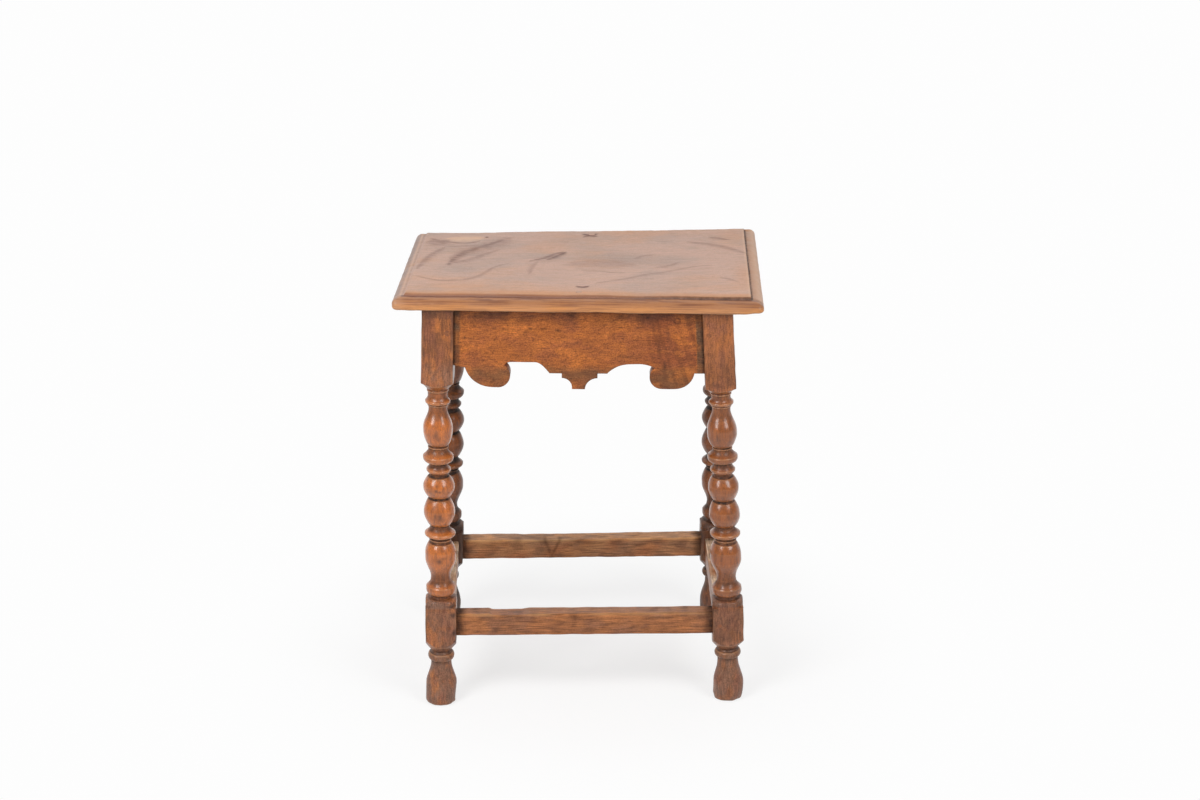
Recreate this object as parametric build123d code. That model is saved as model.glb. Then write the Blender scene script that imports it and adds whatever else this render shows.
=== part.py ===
from build123d import *
import math
import os
from typing import NamedTuple

# A joint stool in walnut: four turned legs, splayed both ways, held by four shaped
# aprons under the seat and four stretchers near the floor, all mortised, tenoned and
# pegged, with a moulded seat board pegged down on top.
# Millimetres. +Z is up, the front faces -Y, and the origin is on the floor at the centre.

# ---------- seat board ----------
seat_length = 455.0
seat_depth = 282.0
seat_thickness = 18.0
seat_corner_radius = 7.0     # rounding of the corners in plan
field_inset = 15.0           # from the nosing to the raised field
field_rise = 3.0             # height of the field above its moulded edge
nosing_rise = 8.0            # height of the elliptical part of the moulding
nosing_round = 3.0           # rounding of the lower edge

# ---------- stance of the legs ----------
end_overhang = 33.5          # seat past the legs' outer faces, at its ends
side_overhang = 13.9         # and at its front and rear
lean_x = 1.45                # degrees, splay seen from the front
lean_y = 1.43                # degrees, splay seen from the side

# ---------- the leg: rises along its axis from one mark to the next, and radii ----------
leg_square = 40.0
sole_radius = 16.0
foot_belly_rise = 15.0
foot_belly_radius = 20.2
ankle_rise = 41.0
ankle_radius = 12.7
foot_ring_rise = 10.0
foot_ring_radius = 16.9
foot_ring_half = 4.5
block_neck_rise = 7.0
block_neck_radius = 13.4
lower_shoulder_rise = 19.0
lower_block_length = 46.0
pad_radius = 22.6
pad_rise = 13.0
pad_round = 6.0
collar_radius = 10.5
collar_rise = 2.0
base_ring_rise = 7.0
base_ring_radius = 19.2
base_ring_half = 6.6
low_neck_rise = 15.5
low_neck_radius = 12.1
low_vase_rise = 31.0
low_vase_radius = 19.6
low_vase_neck_rise = 19.5
low_vase_neck_radius = 12.8
mid_ring_rise = 9.0
mid_ring_radius = 19.6
mid_ring_half = 6.4
ball_neck_radius = 12.9
low_ball_lower_neck_rise = 12.5
low_ball_rise = 17.0
low_ball_radius = 19.7
low_ball_upper_neck_rise = 16.5
high_ball_lower_neck_rise = 3.0
high_ball_rise = 15.5
high_ball_radius = 19.4
high_ball_upper_neck_rise = 15.5
small_ring_rise = 8.5
small_ring_radius = 15.5
small_ring_half = 3.6
high_ring_rise = 16.2
high_ring_radius = 19.1
high_ring_half = 6.6
high_neck_rise = 14.5
high_neck_radius = 11.9
high_vase_rise = 20.5
high_vase_radius = 18.6
high_vase_neck_rise = 29.0
high_vase_neck_radius = 11.1
fillet_rise = 4.5
fillet_radius = 13.0
fillet_width = 3.0
top_ring_rise = 6.3
top_ring_radius = 15.7
top_ring_half = 3.4
top_neck_rise = 8.5
top_neck_radius = 12.0
upper_shoulder_rise = 18.5
upper_block_length = 100.8

# ---------- aprons: depths are measured down from the seat ----------
apron_thickness = 20.0
apron_setback = 4.5          # from the leg's outer face
pendant_depth = 106.2
pendant_foot_left = 8.8      # from the centre line to the pendant's lower corners
pendant_foot_right = 7.5
pendant_step = 6.0           # upright step beside the pendant
shelf_depth = 85.5           # flats on both sides of the pendant
cusp_angle = 60.0            # degrees, where a scroll's inner curve meets the arch
arch_end_angle = 50.0        # degrees, slope of the arch where it meets the shelf
apron_tenon_thickness = 8.0
apron_tenon_length = 23.0
apron_tenon_cheek = 3.0      # from the apron's outer face to the tenon
apron_tenon_top = 10.0       # from the seat down to the tenon
apron_tenon_width = 56.0
apron_peg_diameter = 7.0
apron_peg_first = 33.0       # from the seat down to the upper peg
apron_peg_spacing = 24.0
apron_peg_inset = 8.0        # from the shoulder to the pegs

# ---------- stretchers ----------
stretcher_height = 30.0
stretcher_thickness = 22.0
stretcher_setback_front = 9.0
stretcher_setback_side = 14.0
stretcher_drop = 12.0        # from the top of the square of the block to the stretcher's top
stretcher_tenon_thickness = 8.0
stretcher_tenon_length = 18.0
stretcher_tenon_cheek = 2.0
stretcher_tenon_shoulder = 3.0
stretcher_peg_diameter = 6.0
stretcher_peg_inset = 9.0

# ---------- pegs that hold the seat down, one into the front apron and one into the rear ----------
seat_peg_diameter = 8.0
seat_peg_length = 45.0
seat_peg_front_offset = 2.0  # to the right of the middle
seat_peg_rear_offset = 11.0

# ---------- fits and allowances ----------
mortise_clearance = 0.1
peg_clearance = 0.05
peg_run_on = 2.5             # how far a peg goes past its tenon
sole_allowance = 3.0         # length left on a leg for trimming flat to the floor
top_allowance = 4.0          # and for trimming flat to the seat
tenon_root = 5.0             # how far a tenon's block runs back into its rail
cut_through = 1.0            # how far a mortise or peg hole is cut past the leg's face


class Scroll(NamedTuple):
    """The half of an apron's lower edge beside a leg, cut by eye, so the two halves differ."""
    end_flat: float          # from the leg to the start of the scroll
    end_depth: float         # depth of that flat
    heel: float              # reach of the scroll's outer curve
    sole: float              # flat at the bottom of the scroll
    bottom_depth: float
    eye_radius: float        # radius of the scroll's inner curve
    arch_rise: float         # from the cusp up to the arch's level top
    arch_lead: float         # share of the arch that rises from the cusp to its level top
    arch_fall: float         # share of the arch that falls from its level top to the shelf
    shelf: float             # width of the shelf beside the pendant
    hollow: float            # width of the hollow beside the pendant


left_scroll = Scroll(end_flat=14.6, end_depth=77.5, heel=33.7, sole=7.0, bottom_depth=104.2,
                     eye_radius=15.3, arch_rise=4.4, arch_lead=0.16, arch_fall=0.32,
                     shelf=15.2, hollow=12.3)
right_scroll = Scroll(end_flat=12.1, end_depth=84.5, heel=24.5, sole=16.8, bottom_depth=105.0,
                      eye_radius=14.6, arch_rise=5.1, arch_lead=0.34, arch_fall=0.49,
                      shelf=12.2, hollow=15.8)

# ---------- worked out from the sizes above ----------
half_square = leg_square / 2
corner_radius = half_square * math.sqrt(2)
slope_x = math.tan(math.radians(lean_x))
slope_y = math.tan(math.radians(lean_y))

foot_belly_at = foot_belly_rise
ankle_at = foot_belly_at + ankle_rise
foot_ring_at = ankle_at + foot_ring_rise
block_neck_at = foot_ring_at + block_neck_rise
lower_square_at = block_neck_at + lower_shoulder_rise
lower_square_top = lower_square_at + lower_block_length
pad_top = lower_square_top + pad_rise
base_ring_at = pad_top + collar_rise + base_ring_rise
low_neck_at = base_ring_at + low_neck_rise
low_vase_at = low_neck_at + low_vase_rise
low_vase_neck_at = low_vase_at + low_vase_neck_rise
mid_ring_at = low_vase_neck_at + mid_ring_rise
low_ball_start = mid_ring_at + low_ball_lower_neck_rise
low_ball_at = low_ball_start + low_ball_rise
low_ball_end = low_ball_at + low_ball_upper_neck_rise
high_ball_start = low_ball_end + high_ball_lower_neck_rise
high_ball_at = high_ball_start + high_ball_rise
high_ball_end = high_ball_at + high_ball_upper_neck_rise
small_ring_at = high_ball_end + small_ring_rise
high_ring_at = small_ring_at + high_ring_rise
high_neck_at = high_ring_at + high_neck_rise
high_vase_at = high_neck_at + high_vase_rise
high_vase_neck_at = high_vase_at + high_vase_neck_rise
fillet_at = high_vase_neck_at + fillet_rise
top_ring_at = fillet_at + fillet_width + top_ring_half
top_neck_at = top_ring_at + top_neck_rise
upper_square_at = top_neck_at + upper_shoulder_rise
leg_length = upper_square_at + upper_block_length

seat_underside = leg_length / math.sqrt(1 + slope_x ** 2 + slope_y ** 2)
seat_top = seat_underside + seat_thickness
feet_spacing_x = seat_length - 2 * end_overhang - leg_square + 2 * slope_x * seat_underside
feet_spacing_y = seat_depth - 2 * side_overhang - leg_square + 2 * slope_y * seat_underside
stretcher_top = lower_square_top - stretcher_drop
far = 2 * max(seat_length, seat_depth, leg_length)    # reach of cutting blocks, past any piece

SIDES = {"front": (0, -1), "right": (1, 0), "rear": (0, 1), "left": (-1, 0)}
PENDANT_SIDES = ("front", "rear")
LEGS = {"front_left": (-1, -1), "front_right": (1, -1), "rear_left": (-1, 1), "rear_right": (1, 1)}


def block(x, y, z):
    """Box solid between two values on each axis, given in either order."""
    (x0, x1), (y0, y1), (z0, z1) = sorted(x), sorted(y), sorted(z)
    return Pos((x0 + x1) / 2, (y0 + y1) / 2, (z0 + z1) / 2) * Box(x1 - x0, y1 - y0, z1 - z0)


def polar(radius, degrees):
    angle = math.radians(degrees)
    return radius * math.cos(angle), radius * math.sin(angle)


class Outline:
    """A closed outline drawn curve by curve; each curve starts where the last one ended."""

    def __init__(self, start):
        self.start = self.at = start
        self.edges = []

    def add(self, edge, end):
        self.edges.append(edge)
        self.at = end
        return self

    def line(self, end):
        return self.add(Line(self.at, end), end)

    def arc(self, middle, end):
        return self.add(ThreePointArc(self.at, middle, end), end)

    def round_out(self, direction, end):
        """Circular arc that leaves in the given direction."""
        return self.add(TangentArc(self.at, end, tangent=direction), end)

    def round_in(self, direction, end):
        """Circular arc that arrives in the given direction."""
        back = (-direction[0], -direction[1])
        return self.add(TangentArc(end, self.at, tangent=back), end)

    def curve(self, leave, arrive, end):
        return self.add(Spline(self.at, end, tangents=[leave, arrive]), end)

    def ellipse(self, centre, x_radius, y_radius, start):
        """Quarter of an ellipse, anticlockwise from a start angle of 0 or 90 degrees."""
        end = (centre[0], centre[1] + y_radius) if start == 0 else (centre[0] - x_radius, centre[1])
        return self.add(EllipticalCenterArc(centre, x_radius, y_radius, start, arc_size=90), end)

    def face(self):
        self.line(self.start)
        return make_face(self.edges)


def bead(outline, at, radius, half):
    """Half-round bead of a turning."""
    outline.line((radius - half, at - half)).arc((radius, at), (radius - half, at + half))


def turning():
    """The whole leg as it leaves the lathe, square parts left as round as their corners."""
    up = (0, 1)
    o = Outline((0, -sole_allowance))
    o.line((sole_radius, -sole_allowance)).line((sole_radius, 0))
    o.curve((1, 1), up, (foot_belly_radius, foot_belly_at))
    o.curve(up, up, (ankle_radius, ankle_at))
    bead(o, foot_ring_at, foot_ring_radius, foot_ring_half)
    o.line((block_neck_radius, block_neck_at)).line((corner_radius, lower_square_at))
    o.line((corner_radius, lower_square_top)).line((pad_radius, lower_square_top))
    o.line((pad_radius, pad_top - pad_round)).round_out(up, (pad_radius - pad_round, pad_top))
    o.line((collar_radius, pad_top)).line((collar_radius, pad_top + collar_rise))
    bead(o, base_ring_at, base_ring_radius, base_ring_half)
    o.line((low_neck_radius, base_ring_at + base_ring_half)).line((low_neck_radius, low_neck_at))
    o.curve(up, up, (low_vase_radius, low_vase_at))
    o.round_out(up, (low_vase_neck_radius, low_vase_neck_at))
    bead(o, mid_ring_at, mid_ring_radius, mid_ring_half)
    o.line((ball_neck_radius, low_ball_start))
    o.arc((low_ball_radius, low_ball_at), (ball_neck_radius, low_ball_end))
    o.line((ball_neck_radius, high_ball_start))
    o.arc((high_ball_radius, high_ball_at), (ball_neck_radius, high_ball_end))
    bead(o, small_ring_at, small_ring_radius, small_ring_half)
    bead(o, high_ring_at, high_ring_radius, high_ring_half)
    o.line((high_neck_radius, high_neck_at)).round_in(up, (high_vase_radius, high_vase_at))
    o.curve(up, up, (high_vase_neck_radius, high_vase_neck_at))
    o.line((fillet_radius, fillet_at)).line((fillet_radius, fillet_at + fillet_width))
    bead(o, top_ring_at, top_ring_radius, top_ring_half)
    o.line((top_neck_radius, top_neck_at)).line((corner_radius, upper_square_at))
    o.line((corner_radius, leg_length + top_allowance)).line((0, leg_length + top_allowance))
    return revolve(Plane.XZ * o.face(), axis=Axis.Z)


def leg_place(leg):
    """A leg's own axes: origin at its foot, Z up its axis, X and Y square to its faces."""
    sx, sy = LEGS[leg]
    axis = Vector(-sx * slope_x, -sy * slope_y, 1)
    across = Vector(0, 1, sy * slope_y)
    foot = (sx * feet_spacing_x / 2, sy * feet_spacing_y / 2, 0)
    return Plane(origin=foot, x_dir=across.cross(axis), z_dir=axis).location


def side_place(side):
    """Plane through the leg centres of one side, seen from outside: X to the right, Y up."""
    ox, oy = SIDES[side]
    half = feet_spacing_x / 2 if ox else feet_spacing_y / 2
    slope = slope_x if ox else slope_y
    return Plane(origin=(ox * half, oy * half, 0), x_dir=(-oy, ox, 0), z_dir=(ox, oy, slope)).location


def legs_of(side):
    ox, oy = SIDES[side]
    return [leg for leg, (sx, sy) in LEGS.items() if sx == ox or sy == oy]


def sides_of(leg):
    return [side for side in SIDES if leg in legs_of(side)]


def in_leg(leg, side, reach, depth, height):
    """Box in a leg's own axes, for the joint with the rails of one side. Reach is measured
    from the leg's centre towards the rail, depth from the centre towards the outer face."""
    sx, sy = LEGS[leg]
    ox, oy = SIDES[side]
    if oy:
        return block([-sx * v for v in reach], [oy * v for v in depth], height)
    return block([ox * v for v in depth], [-sy * v for v in reach], height)


def peg_in_leg(leg, side, reach, depth, height, radius):
    """Cylinder square to the outer face, in the same measures as in_leg."""
    sx, sy = LEGS[leg]
    ox, oy = SIDES[side]
    middle, length = (depth[0] + depth[1]) / 2, depth[1] - depth[0]
    if oy:
        return Pos(-sx * reach, oy * middle, height) * Cylinder(radius, length, rotation=(90, 0, 0))
    return Pos(ox * middle, -sy * reach, height) * Cylinder(radius, length, rotation=(0, 90, 0))


class Joint(NamedTuple):
    """Mortise and tenon between a rail and a leg; depths run from the leg's centre outwards
    and heights along the leg."""
    outer: float             # outer face of the tenon
    thickness: float
    length: float
    bottom: float
    top: float
    peg_inset: float
    peg_radius: float
    peg_heights: tuple

    def tenon(self, leg, side, root=0.0, grow=0.0):
        reach = (half_square - self.length - grow, half_square + root)
        depth = (self.outer - self.thickness - grow, self.outer + grow)
        return in_leg(leg, side, reach, depth, (self.bottom - grow, self.top + grow))

    def pegs(self, leg, side, slack=0.0, proud=0.0):
        blind_end = self.outer - self.thickness - peg_run_on + slack
        reach = half_square - self.peg_inset
        return [peg_in_leg(leg, side, reach, (blind_end, half_square + proud), height,
                           self.peg_radius - slack) for height in self.peg_heights]


apron_joint = Joint(
    outer=half_square - apron_setback - apron_tenon_cheek,
    thickness=apron_tenon_thickness,
    length=apron_tenon_length,
    bottom=leg_length - apron_tenon_top - apron_tenon_width,
    top=leg_length - apron_tenon_top,
    peg_inset=apron_peg_inset,
    peg_radius=apron_peg_diameter / 2,
    peg_heights=(leg_length - apron_peg_first, leg_length - apron_peg_first - apron_peg_spacing))


def stretcher_joint(side):
    setback = stretcher_setback_side if SIDES[side][0] else stretcher_setback_front
    return Joint(
        outer=half_square - setback - stretcher_tenon_cheek,
        thickness=stretcher_tenon_thickness,
        length=stretcher_tenon_length,
        bottom=stretcher_top - stretcher_height + stretcher_tenon_shoulder,
        top=stretcher_top - stretcher_tenon_shoulder,
        peg_inset=stretcher_peg_inset,
        peg_radius=stretcher_peg_diameter / 2,
        peg_heights=(stretcher_top - stretcher_height / 2,))


def joints_of(side):
    return apron_joint, stretcher_joint(side)


above_seat = block((-far, far), (-far, far), (seat_underside, seat_underside + far))
below_floor = block((-far, far), (-far, far), (-far, 0))


def make_leg(leg):
    square = block((-half_square, half_square), (-half_square, half_square),
                   (-sole_allowance, leg_length + top_allowance))
    solid = square & turning()
    for side in sides_of(leg):
        for joint in joints_of(side):
            solid -= joint.tenon(leg, side, root=cut_through, grow=mortise_clearance)
            for hole in joint.pegs(leg, side, proud=cut_through):
                solid -= hole
    return leg_place(leg) * solid - above_seat - below_floor


def fit_rail(board, side, joint):
    """Cut a board's shoulders against its two legs, and give it its tenons and peg holes."""
    for leg in legs_of(side):
        place = leg_place(leg)
        solid_leg = in_leg(leg, side, (-far, half_square), (-far, far), (-far, far))
        board -= place * solid_leg
        board += place * joint.tenon(leg, side, root=tenon_root)
        for hole in joint.pegs(leg, side):
            board -= place * hole
    return board


def rail_span(side):
    """Half the spacing of the leg centres at the floor along one side."""
    return feet_spacing_y / 2 if SIDES[side][0] else feet_spacing_x / 2


def shoulder_at(side, height):
    """From the middle of a side to the legs' inner faces, at a height."""
    slope = slope_y if SIDES[side][0] else slope_x
    return rail_span(side) - slope * height - half_square


def draw_half(scroll, side, hand, top):
    """Half of an apron's lower edge, drawn from the middle outwards to the end of the board.
    X runs outwards from the middle, on the right when hand is 1 and on the left when it is -1."""
    def at(x, depth):
        return hand * x, top - depth

    outwards = (hand, 0)
    heel = shoulder_at(side, seat_underside - scroll.end_depth) - scroll.end_flat
    eye = heel - scroll.heel - scroll.sole
    eye_depth = scroll.bottom_depth - scroll.eye_radius
    drawn_back, lift = polar(scroll.eye_radius, cusp_angle)
    cusp = eye - drawn_back
    arch_depth = eye_depth - lift - scroll.arch_rise

    if side in PENDANT_SIDES:
        foot = pendant_foot_right if hand > 0 else pendant_foot_left
        hollow = foot + scroll.hollow
        shelf_end = hollow + scroll.shelf
        arch = cusp - shelf_end
        o = Outline(at(0, pendant_depth)).line(at(foot, pendant_depth))
        o.round_in(outwards, at(hollow, shelf_depth + pendant_step))
        o.line(at(hollow, shelf_depth)).line(at(shelf_end, shelf_depth))
        rise = polar(1, arch_end_angle)
        o.curve((hand * rise[0], rise[1]), outwards,
                at(shelf_end + scroll.arch_fall * arch, arch_depth))
    else:
        arch = cusp
        o = Outline(at(0, arch_depth))
    o.line(at(cusp - scroll.arch_lead * arch, arch_depth))
    o.round_out(outwards, at(cusp, eye_depth - lift))
    o.arc(at(eye - scroll.eye_radius, eye_depth), at(eye, scroll.bottom_depth))
    o.line(at(heel - scroll.heel, scroll.bottom_depth))
    o.round_out(outwards, at(heel, scroll.end_depth))
    o.line(at(rail_span(side), scroll.end_depth))
    o.line(at(rail_span(side), -top_allowance)).line(at(0, -top_allowance))
    return o.edges


def make_apron(side):
    lean = lean_x if SIDES[side][0] else lean_y
    top = seat_underside / math.cos(math.radians(lean))
    right_half = right_scroll if side in PENDANT_SIDES else left_scroll
    edges = draw_half(left_scroll, side, -1, top) + draw_half(right_half, side, 1, top)
    inner = half_square - apron_setback - apron_thickness
    board = Pos(0, 0, inner) * extrude(make_face(edges), amount=apron_thickness)
    board = fit_rail(side_place(side) * board, side, apron_joint) - above_seat
    if side in PENDANT_SIDES:
        board -= seat_peg(side, seat_peg_diameter / 2)
    return board


def make_stretcher(side):
    setback = stretcher_setback_side if SIDES[side][0] else stretcher_setback_front
    outer = half_square - setback
    span = rail_span(side)
    board = block((-span, span), (stretcher_top - stretcher_height, stretcher_top),
                  (outer - stretcher_thickness, outer))
    return fit_rail(side_place(side) * board, side, stretcher_joint(side))


def seat_section(half):
    """Section across the seat board, half being half its size that way."""
    edge_top = seat_thickness - field_rise - nosing_rise
    field = half - field_inset
    o = Outline((-half + nosing_round, 0)).line((half - nosing_round, 0))
    o.round_out((1, 0), (half, nosing_round)).line((half, edge_top))
    o.ellipse((field, edge_top), field_inset, nosing_rise, 0)
    o.line((field, seat_thickness)).line((-field, seat_thickness))
    o.line((-field, edge_top + nosing_rise))
    o.ellipse((-field, edge_top), field_inset, nosing_rise, 90)
    o.line((-half, nosing_round)).round_out((0, -1), (-half + nosing_round, 0))
    return make_face(o.edges)


def seat_peg(side, radius):
    """Peg or hole from the seat's face down into the top edge of an apron."""
    out = SIDES[side][1]
    middle = half_square - apron_setback - apron_thickness / 2
    x = seat_peg_rear_offset if out > 0 else seat_peg_front_offset
    y = out * (feet_spacing_y / 2 - slope_y * seat_underside + middle)
    return Pos(x, y, seat_top - seat_peg_length / 2) * Cylinder(radius, seat_peg_length)


def make_seat():
    """Two moulded lengths crossing at right angles leave the mitred moulding on all four sides."""
    lengthwise = extrude(Plane.YZ * seat_section(seat_depth / 2), amount=seat_length, both=True)
    crosswise = extrude(Plane.XZ * seat_section(seat_length / 2), amount=seat_depth, both=True)
    plan = RectangleRounded(seat_length, seat_depth, seat_corner_radius)
    board = lengthwise & extrude(plan, amount=2 * seat_thickness, both=True) & crosswise
    board = Pos(0, 0, seat_underside) * board
    for side in PENDANT_SIDES:
        board -= seat_peg(side, seat_peg_diameter / 2)
    return board


def make_pegs(side, joint):
    pegs = []
    for leg in legs_of(side):
        pegs += [leg_place(leg) * peg for peg in joint.pegs(leg, side, slack=peg_clearance)]
    return pegs


pieces = {"seat": [make_seat()]}
for leg in LEGS:
    pieces[f"leg_{leg}"] = [make_leg(leg)]
for side in SIDES:
    pieces[f"apron_{side}"] = [make_apron(side)]
    pieces[f"stretcher_{side}"] = [make_stretcher(side)]
    pieces[f"apron_pegs_{side}"] = make_pegs(side, apron_joint)
    pieces[f"stretcher_pegs_{side}"] = make_pegs(side, stretcher_joint(side))
pieces["seat_pegs"] = [seat_peg(side, seat_peg_diameter / 2 - peg_clearance) for side in PENDANT_SIDES]

os.makedirs("parts", exist_ok=True)
for name, solids in pieces.items():
    shape = solids[0] if len(solids) == 1 else Compound(children=solids)
    export_step(shape, f"parts/{name}.step")
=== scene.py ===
import math
from typing import NamedTuple

import bpy
import numpy as np
from bpy.props import FloatProperty, FloatVectorProperty, PointerProperty
from mathutils import Matrix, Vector
from mathutils.geometry import delaunay_2d_cdt


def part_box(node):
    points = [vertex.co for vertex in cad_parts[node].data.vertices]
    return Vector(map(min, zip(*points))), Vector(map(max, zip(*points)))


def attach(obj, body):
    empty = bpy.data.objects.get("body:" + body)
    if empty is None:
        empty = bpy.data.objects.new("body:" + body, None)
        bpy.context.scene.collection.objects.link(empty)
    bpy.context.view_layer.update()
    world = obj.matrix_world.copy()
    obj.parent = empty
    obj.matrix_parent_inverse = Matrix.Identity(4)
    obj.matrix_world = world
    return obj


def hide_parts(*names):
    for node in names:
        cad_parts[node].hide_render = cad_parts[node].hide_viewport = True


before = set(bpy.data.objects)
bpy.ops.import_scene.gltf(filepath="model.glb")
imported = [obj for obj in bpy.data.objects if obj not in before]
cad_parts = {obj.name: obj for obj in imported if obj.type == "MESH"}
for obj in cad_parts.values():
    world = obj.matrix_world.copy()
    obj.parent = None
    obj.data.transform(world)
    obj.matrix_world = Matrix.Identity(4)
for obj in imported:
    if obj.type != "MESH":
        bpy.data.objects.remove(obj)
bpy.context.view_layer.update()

bl_info = {
    "name": "Joint stool",
    "version": (1, 0, 0),
    "blender": (4, 5, 0),
    "location": "View3D > Sidebar > Stool",
    "description": "Dresses the frame of a joint stool in old, waxed walnut",
    "category": "Add Mesh",
}

# An old joint stool in walnut. Every shape is worked out in millimetres as a joiner would set it
# out, true and square; settle() then moves it as age has racked the frame, and add_piece() turns
# millimetres to metres.
MM = 0.001

# ---------- setting out ----------
seat_low, seat_high = (np.array(corner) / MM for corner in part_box("seat"))
SEAT_LENGTH, SEAT_DEPTH, SEAT_THICKNESS = seat_high - seat_low
SEAT_UNDERSIDE, SEAT_TOP = seat_low[2], seat_high[2]
END_OVERHANG = 33.5            # seat past the legs' outer faces, at its ends
SIDE_OVERHANG = 13.9           # and at its front and rear
HALF_SQUARE = 20.0             # of the leg's square
LEAN = (1.45, 1.43)            # degrees of splay, seen from the front and from the side
SLOPE_X, SLOPE_Y = (math.tan(math.radians(degrees)) for degrees in LEAN)
LEG_LENGTH = SEAT_UNDERSIDE * math.hypot(1, SLOPE_X, SLOPE_Y)
FOOT_X = SEAT_LENGTH / 2 - END_OVERHANG - HALF_SQUARE + SLOPE_X * SEAT_UNDERSIDE
FOOT_Y = SEAT_DEPTH / 2 - SIDE_OVERHANG - HALF_SQUARE + SLOPE_Y * SEAT_UNDERSIDE
LEGS = {"front_left": (-1, -1), "front_right": (1, -1), "rear_left": (-1, 1), "rear_right": (1, 1)}
SIDES = {"front": (0, -1), "right": (1, 0), "rear": (0, 1), "left": (-1, 0)}
PENDANT_SIDES = ("front", "rear")


def linear(colour):
    """sRGB hex to linear red, green and blue: each channel goes through the sRGB curve."""
    channels = np.array([int(colour[i:i + 2], 16) for i in (1, 3, 5)]) / 255
    return tuple(np.where(channels <= 0.04045, channels / 12.92, ((channels + 0.055) / 1.055) ** 2.4))


# ---------- what a user would change ----------
class StoolSizes(bpy.types.PropertyGroup):
    """Sizes that use and age have given the stool."""
    arris: FloatProperty(
        name="Arris", description="Rounding of the edges of aprons and stretchers",
        default=1.0 * MM, min=0.2 * MM, max=3.0 * MM, unit="LENGTH")
    rack_top: FloatProperty(
        name="Racking at the seat", description="Sideways movement of the seat, as a share of its depth",
        default=0.038, min=-0.1, max=0.1)
    rack_floor: FloatProperty(
        name="Racking at the floor", description="Sideways movement of the feet, as a share of their depth",
        default=-0.027, min=-0.1, max=0.1)
    skew_top: FloatProperty(
        name="Skew at the seat", description="Movement to the front or rear, as a share of the length",
        default=0.016, min=-0.1, max=0.1)
    skew_floor: FloatProperty(
        name="Skew at the floor", description="Movement of the feet, as a share of the length",
        default=-0.0165, min=-0.1, max=0.1)
    wind: FloatProperty(
        name="Wind", description="How far two opposite corners of the seat stand above the other two",
        default=2.9 * MM, min=0.0, max=10.0 * MM, unit="LENGTH")


COLOUR = {"subtype": "COLOR", "size": 3, "min": 0, "max": 1}


class StoolColours(bpy.types.PropertyGroup):
    """Colours of the walnut, as the eye sees them under a plain white light."""
    seat: FloatVectorProperty(
        name="Seat", description="Sun-bleached field of the seat", default=linear("#c8a391"), **COLOUR)
    nosing: FloatVectorProperty(
        name="Nosing", description="Rubbed, orange edge of the seat", default=linear("#cc8643"), **COLOUR)
    apron: FloatVectorProperty(
        name="Aprons", description="Warm orange walnut of the aprons", default=linear("#a45d2a"), **COLOUR)
    square: FloatVectorProperty(
        name="Leg squares", description="Red-brown walnut of the squares of the legs",
        default=linear("#95582f"), **COLOUR)
    turning: FloatVectorProperty(
        name="Leg turnings", description="Orange walnut of the turned parts, thick with wax",
        default=linear("#bd6828"), **COLOUR)
    foot: FloatVectorProperty(
        name="Feet", description="Scrubbed, greyer walnut of the feet", default=linear("#845d48"), **COLOUR)
    stretcher: FloatVectorProperty(
        name="Stretchers", description="Brown walnut of the stretchers", default=linear("#9b6038"), **COLOUR)
    # This dark colour is also painted as shade: under the seat, in its quirk, and where aprons and
    # stretchers meet the legs.
    grime_and_shade: FloatVectorProperty(
        name="Grime", description="Old wax and dirt in the hollows", default=linear("#2a1a12"), **COLOUR)


# ---------- arithmetic on whole arrays ----------
def ripple(points, size, seed, waves=10):
    """Smooth random field of about unit height: plane waves of lengths near size, with directions
    and phases from a seeded generator, are added and divided by the root of half their number."""
    random = np.random.default_rng(seed)
    directions = random.normal(size=(waves, points.shape[-1]))
    directions /= np.linalg.norm(directions, axis=1, keepdims=True)
    lengths = size * random.uniform(0.7, 1.7, waves)
    phases = random.uniform(0, math.tau, waves)
    turns = points @ (math.tau * directions / lengths[:, None]).T + phases
    return np.sin(turns).sum(-1) / math.sqrt(waves / 2)


def clouds(points, size, seed):
    """The same field about one half, so that most of it lies between 0 and 1."""
    return 0.5 + 0.5 * ripple(points, size, seed)


def unit(values):
    """Values held between 0 and 1."""
    return np.clip(values, 0, 1)


def ease(value, low, high):
    """0 below low, 1 above high, and the cubic 3t^2 - 2t^3 between them."""
    t = unit((value - low) / (high - low))
    return t * t * (3 - 2 * t)


def fade(value, low, high):
    """1 below low, 0 above high, and the same cubic between them."""
    return 1 - ease(value, low, high)


def band(value, start, whole, last, end):
    """0 outside start and end, 1 from whole to last, and the same cubic on both slopes."""
    return ease(value, start, whole) * fade(value, last, end)


def dab(distance, radius):
    """Soft round spot: the bell curve of a distance over a radius."""
    return np.exp(-(distance / radius) ** 2)


def blurred(values, steps, radius):
    """Values at evenly spaced steps, averaged under a bell curve whose spread is the radius."""
    reach = int(math.ceil(3 * radius / steps))
    kernel = np.exp(-0.5 * (np.arange(-reach, reach + 1) * steps / radius) ** 2)
    padded = np.pad(values, reach, mode="edge")
    return np.convolve(padded, kernel / kernel.sum(), mode="valid")


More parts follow.
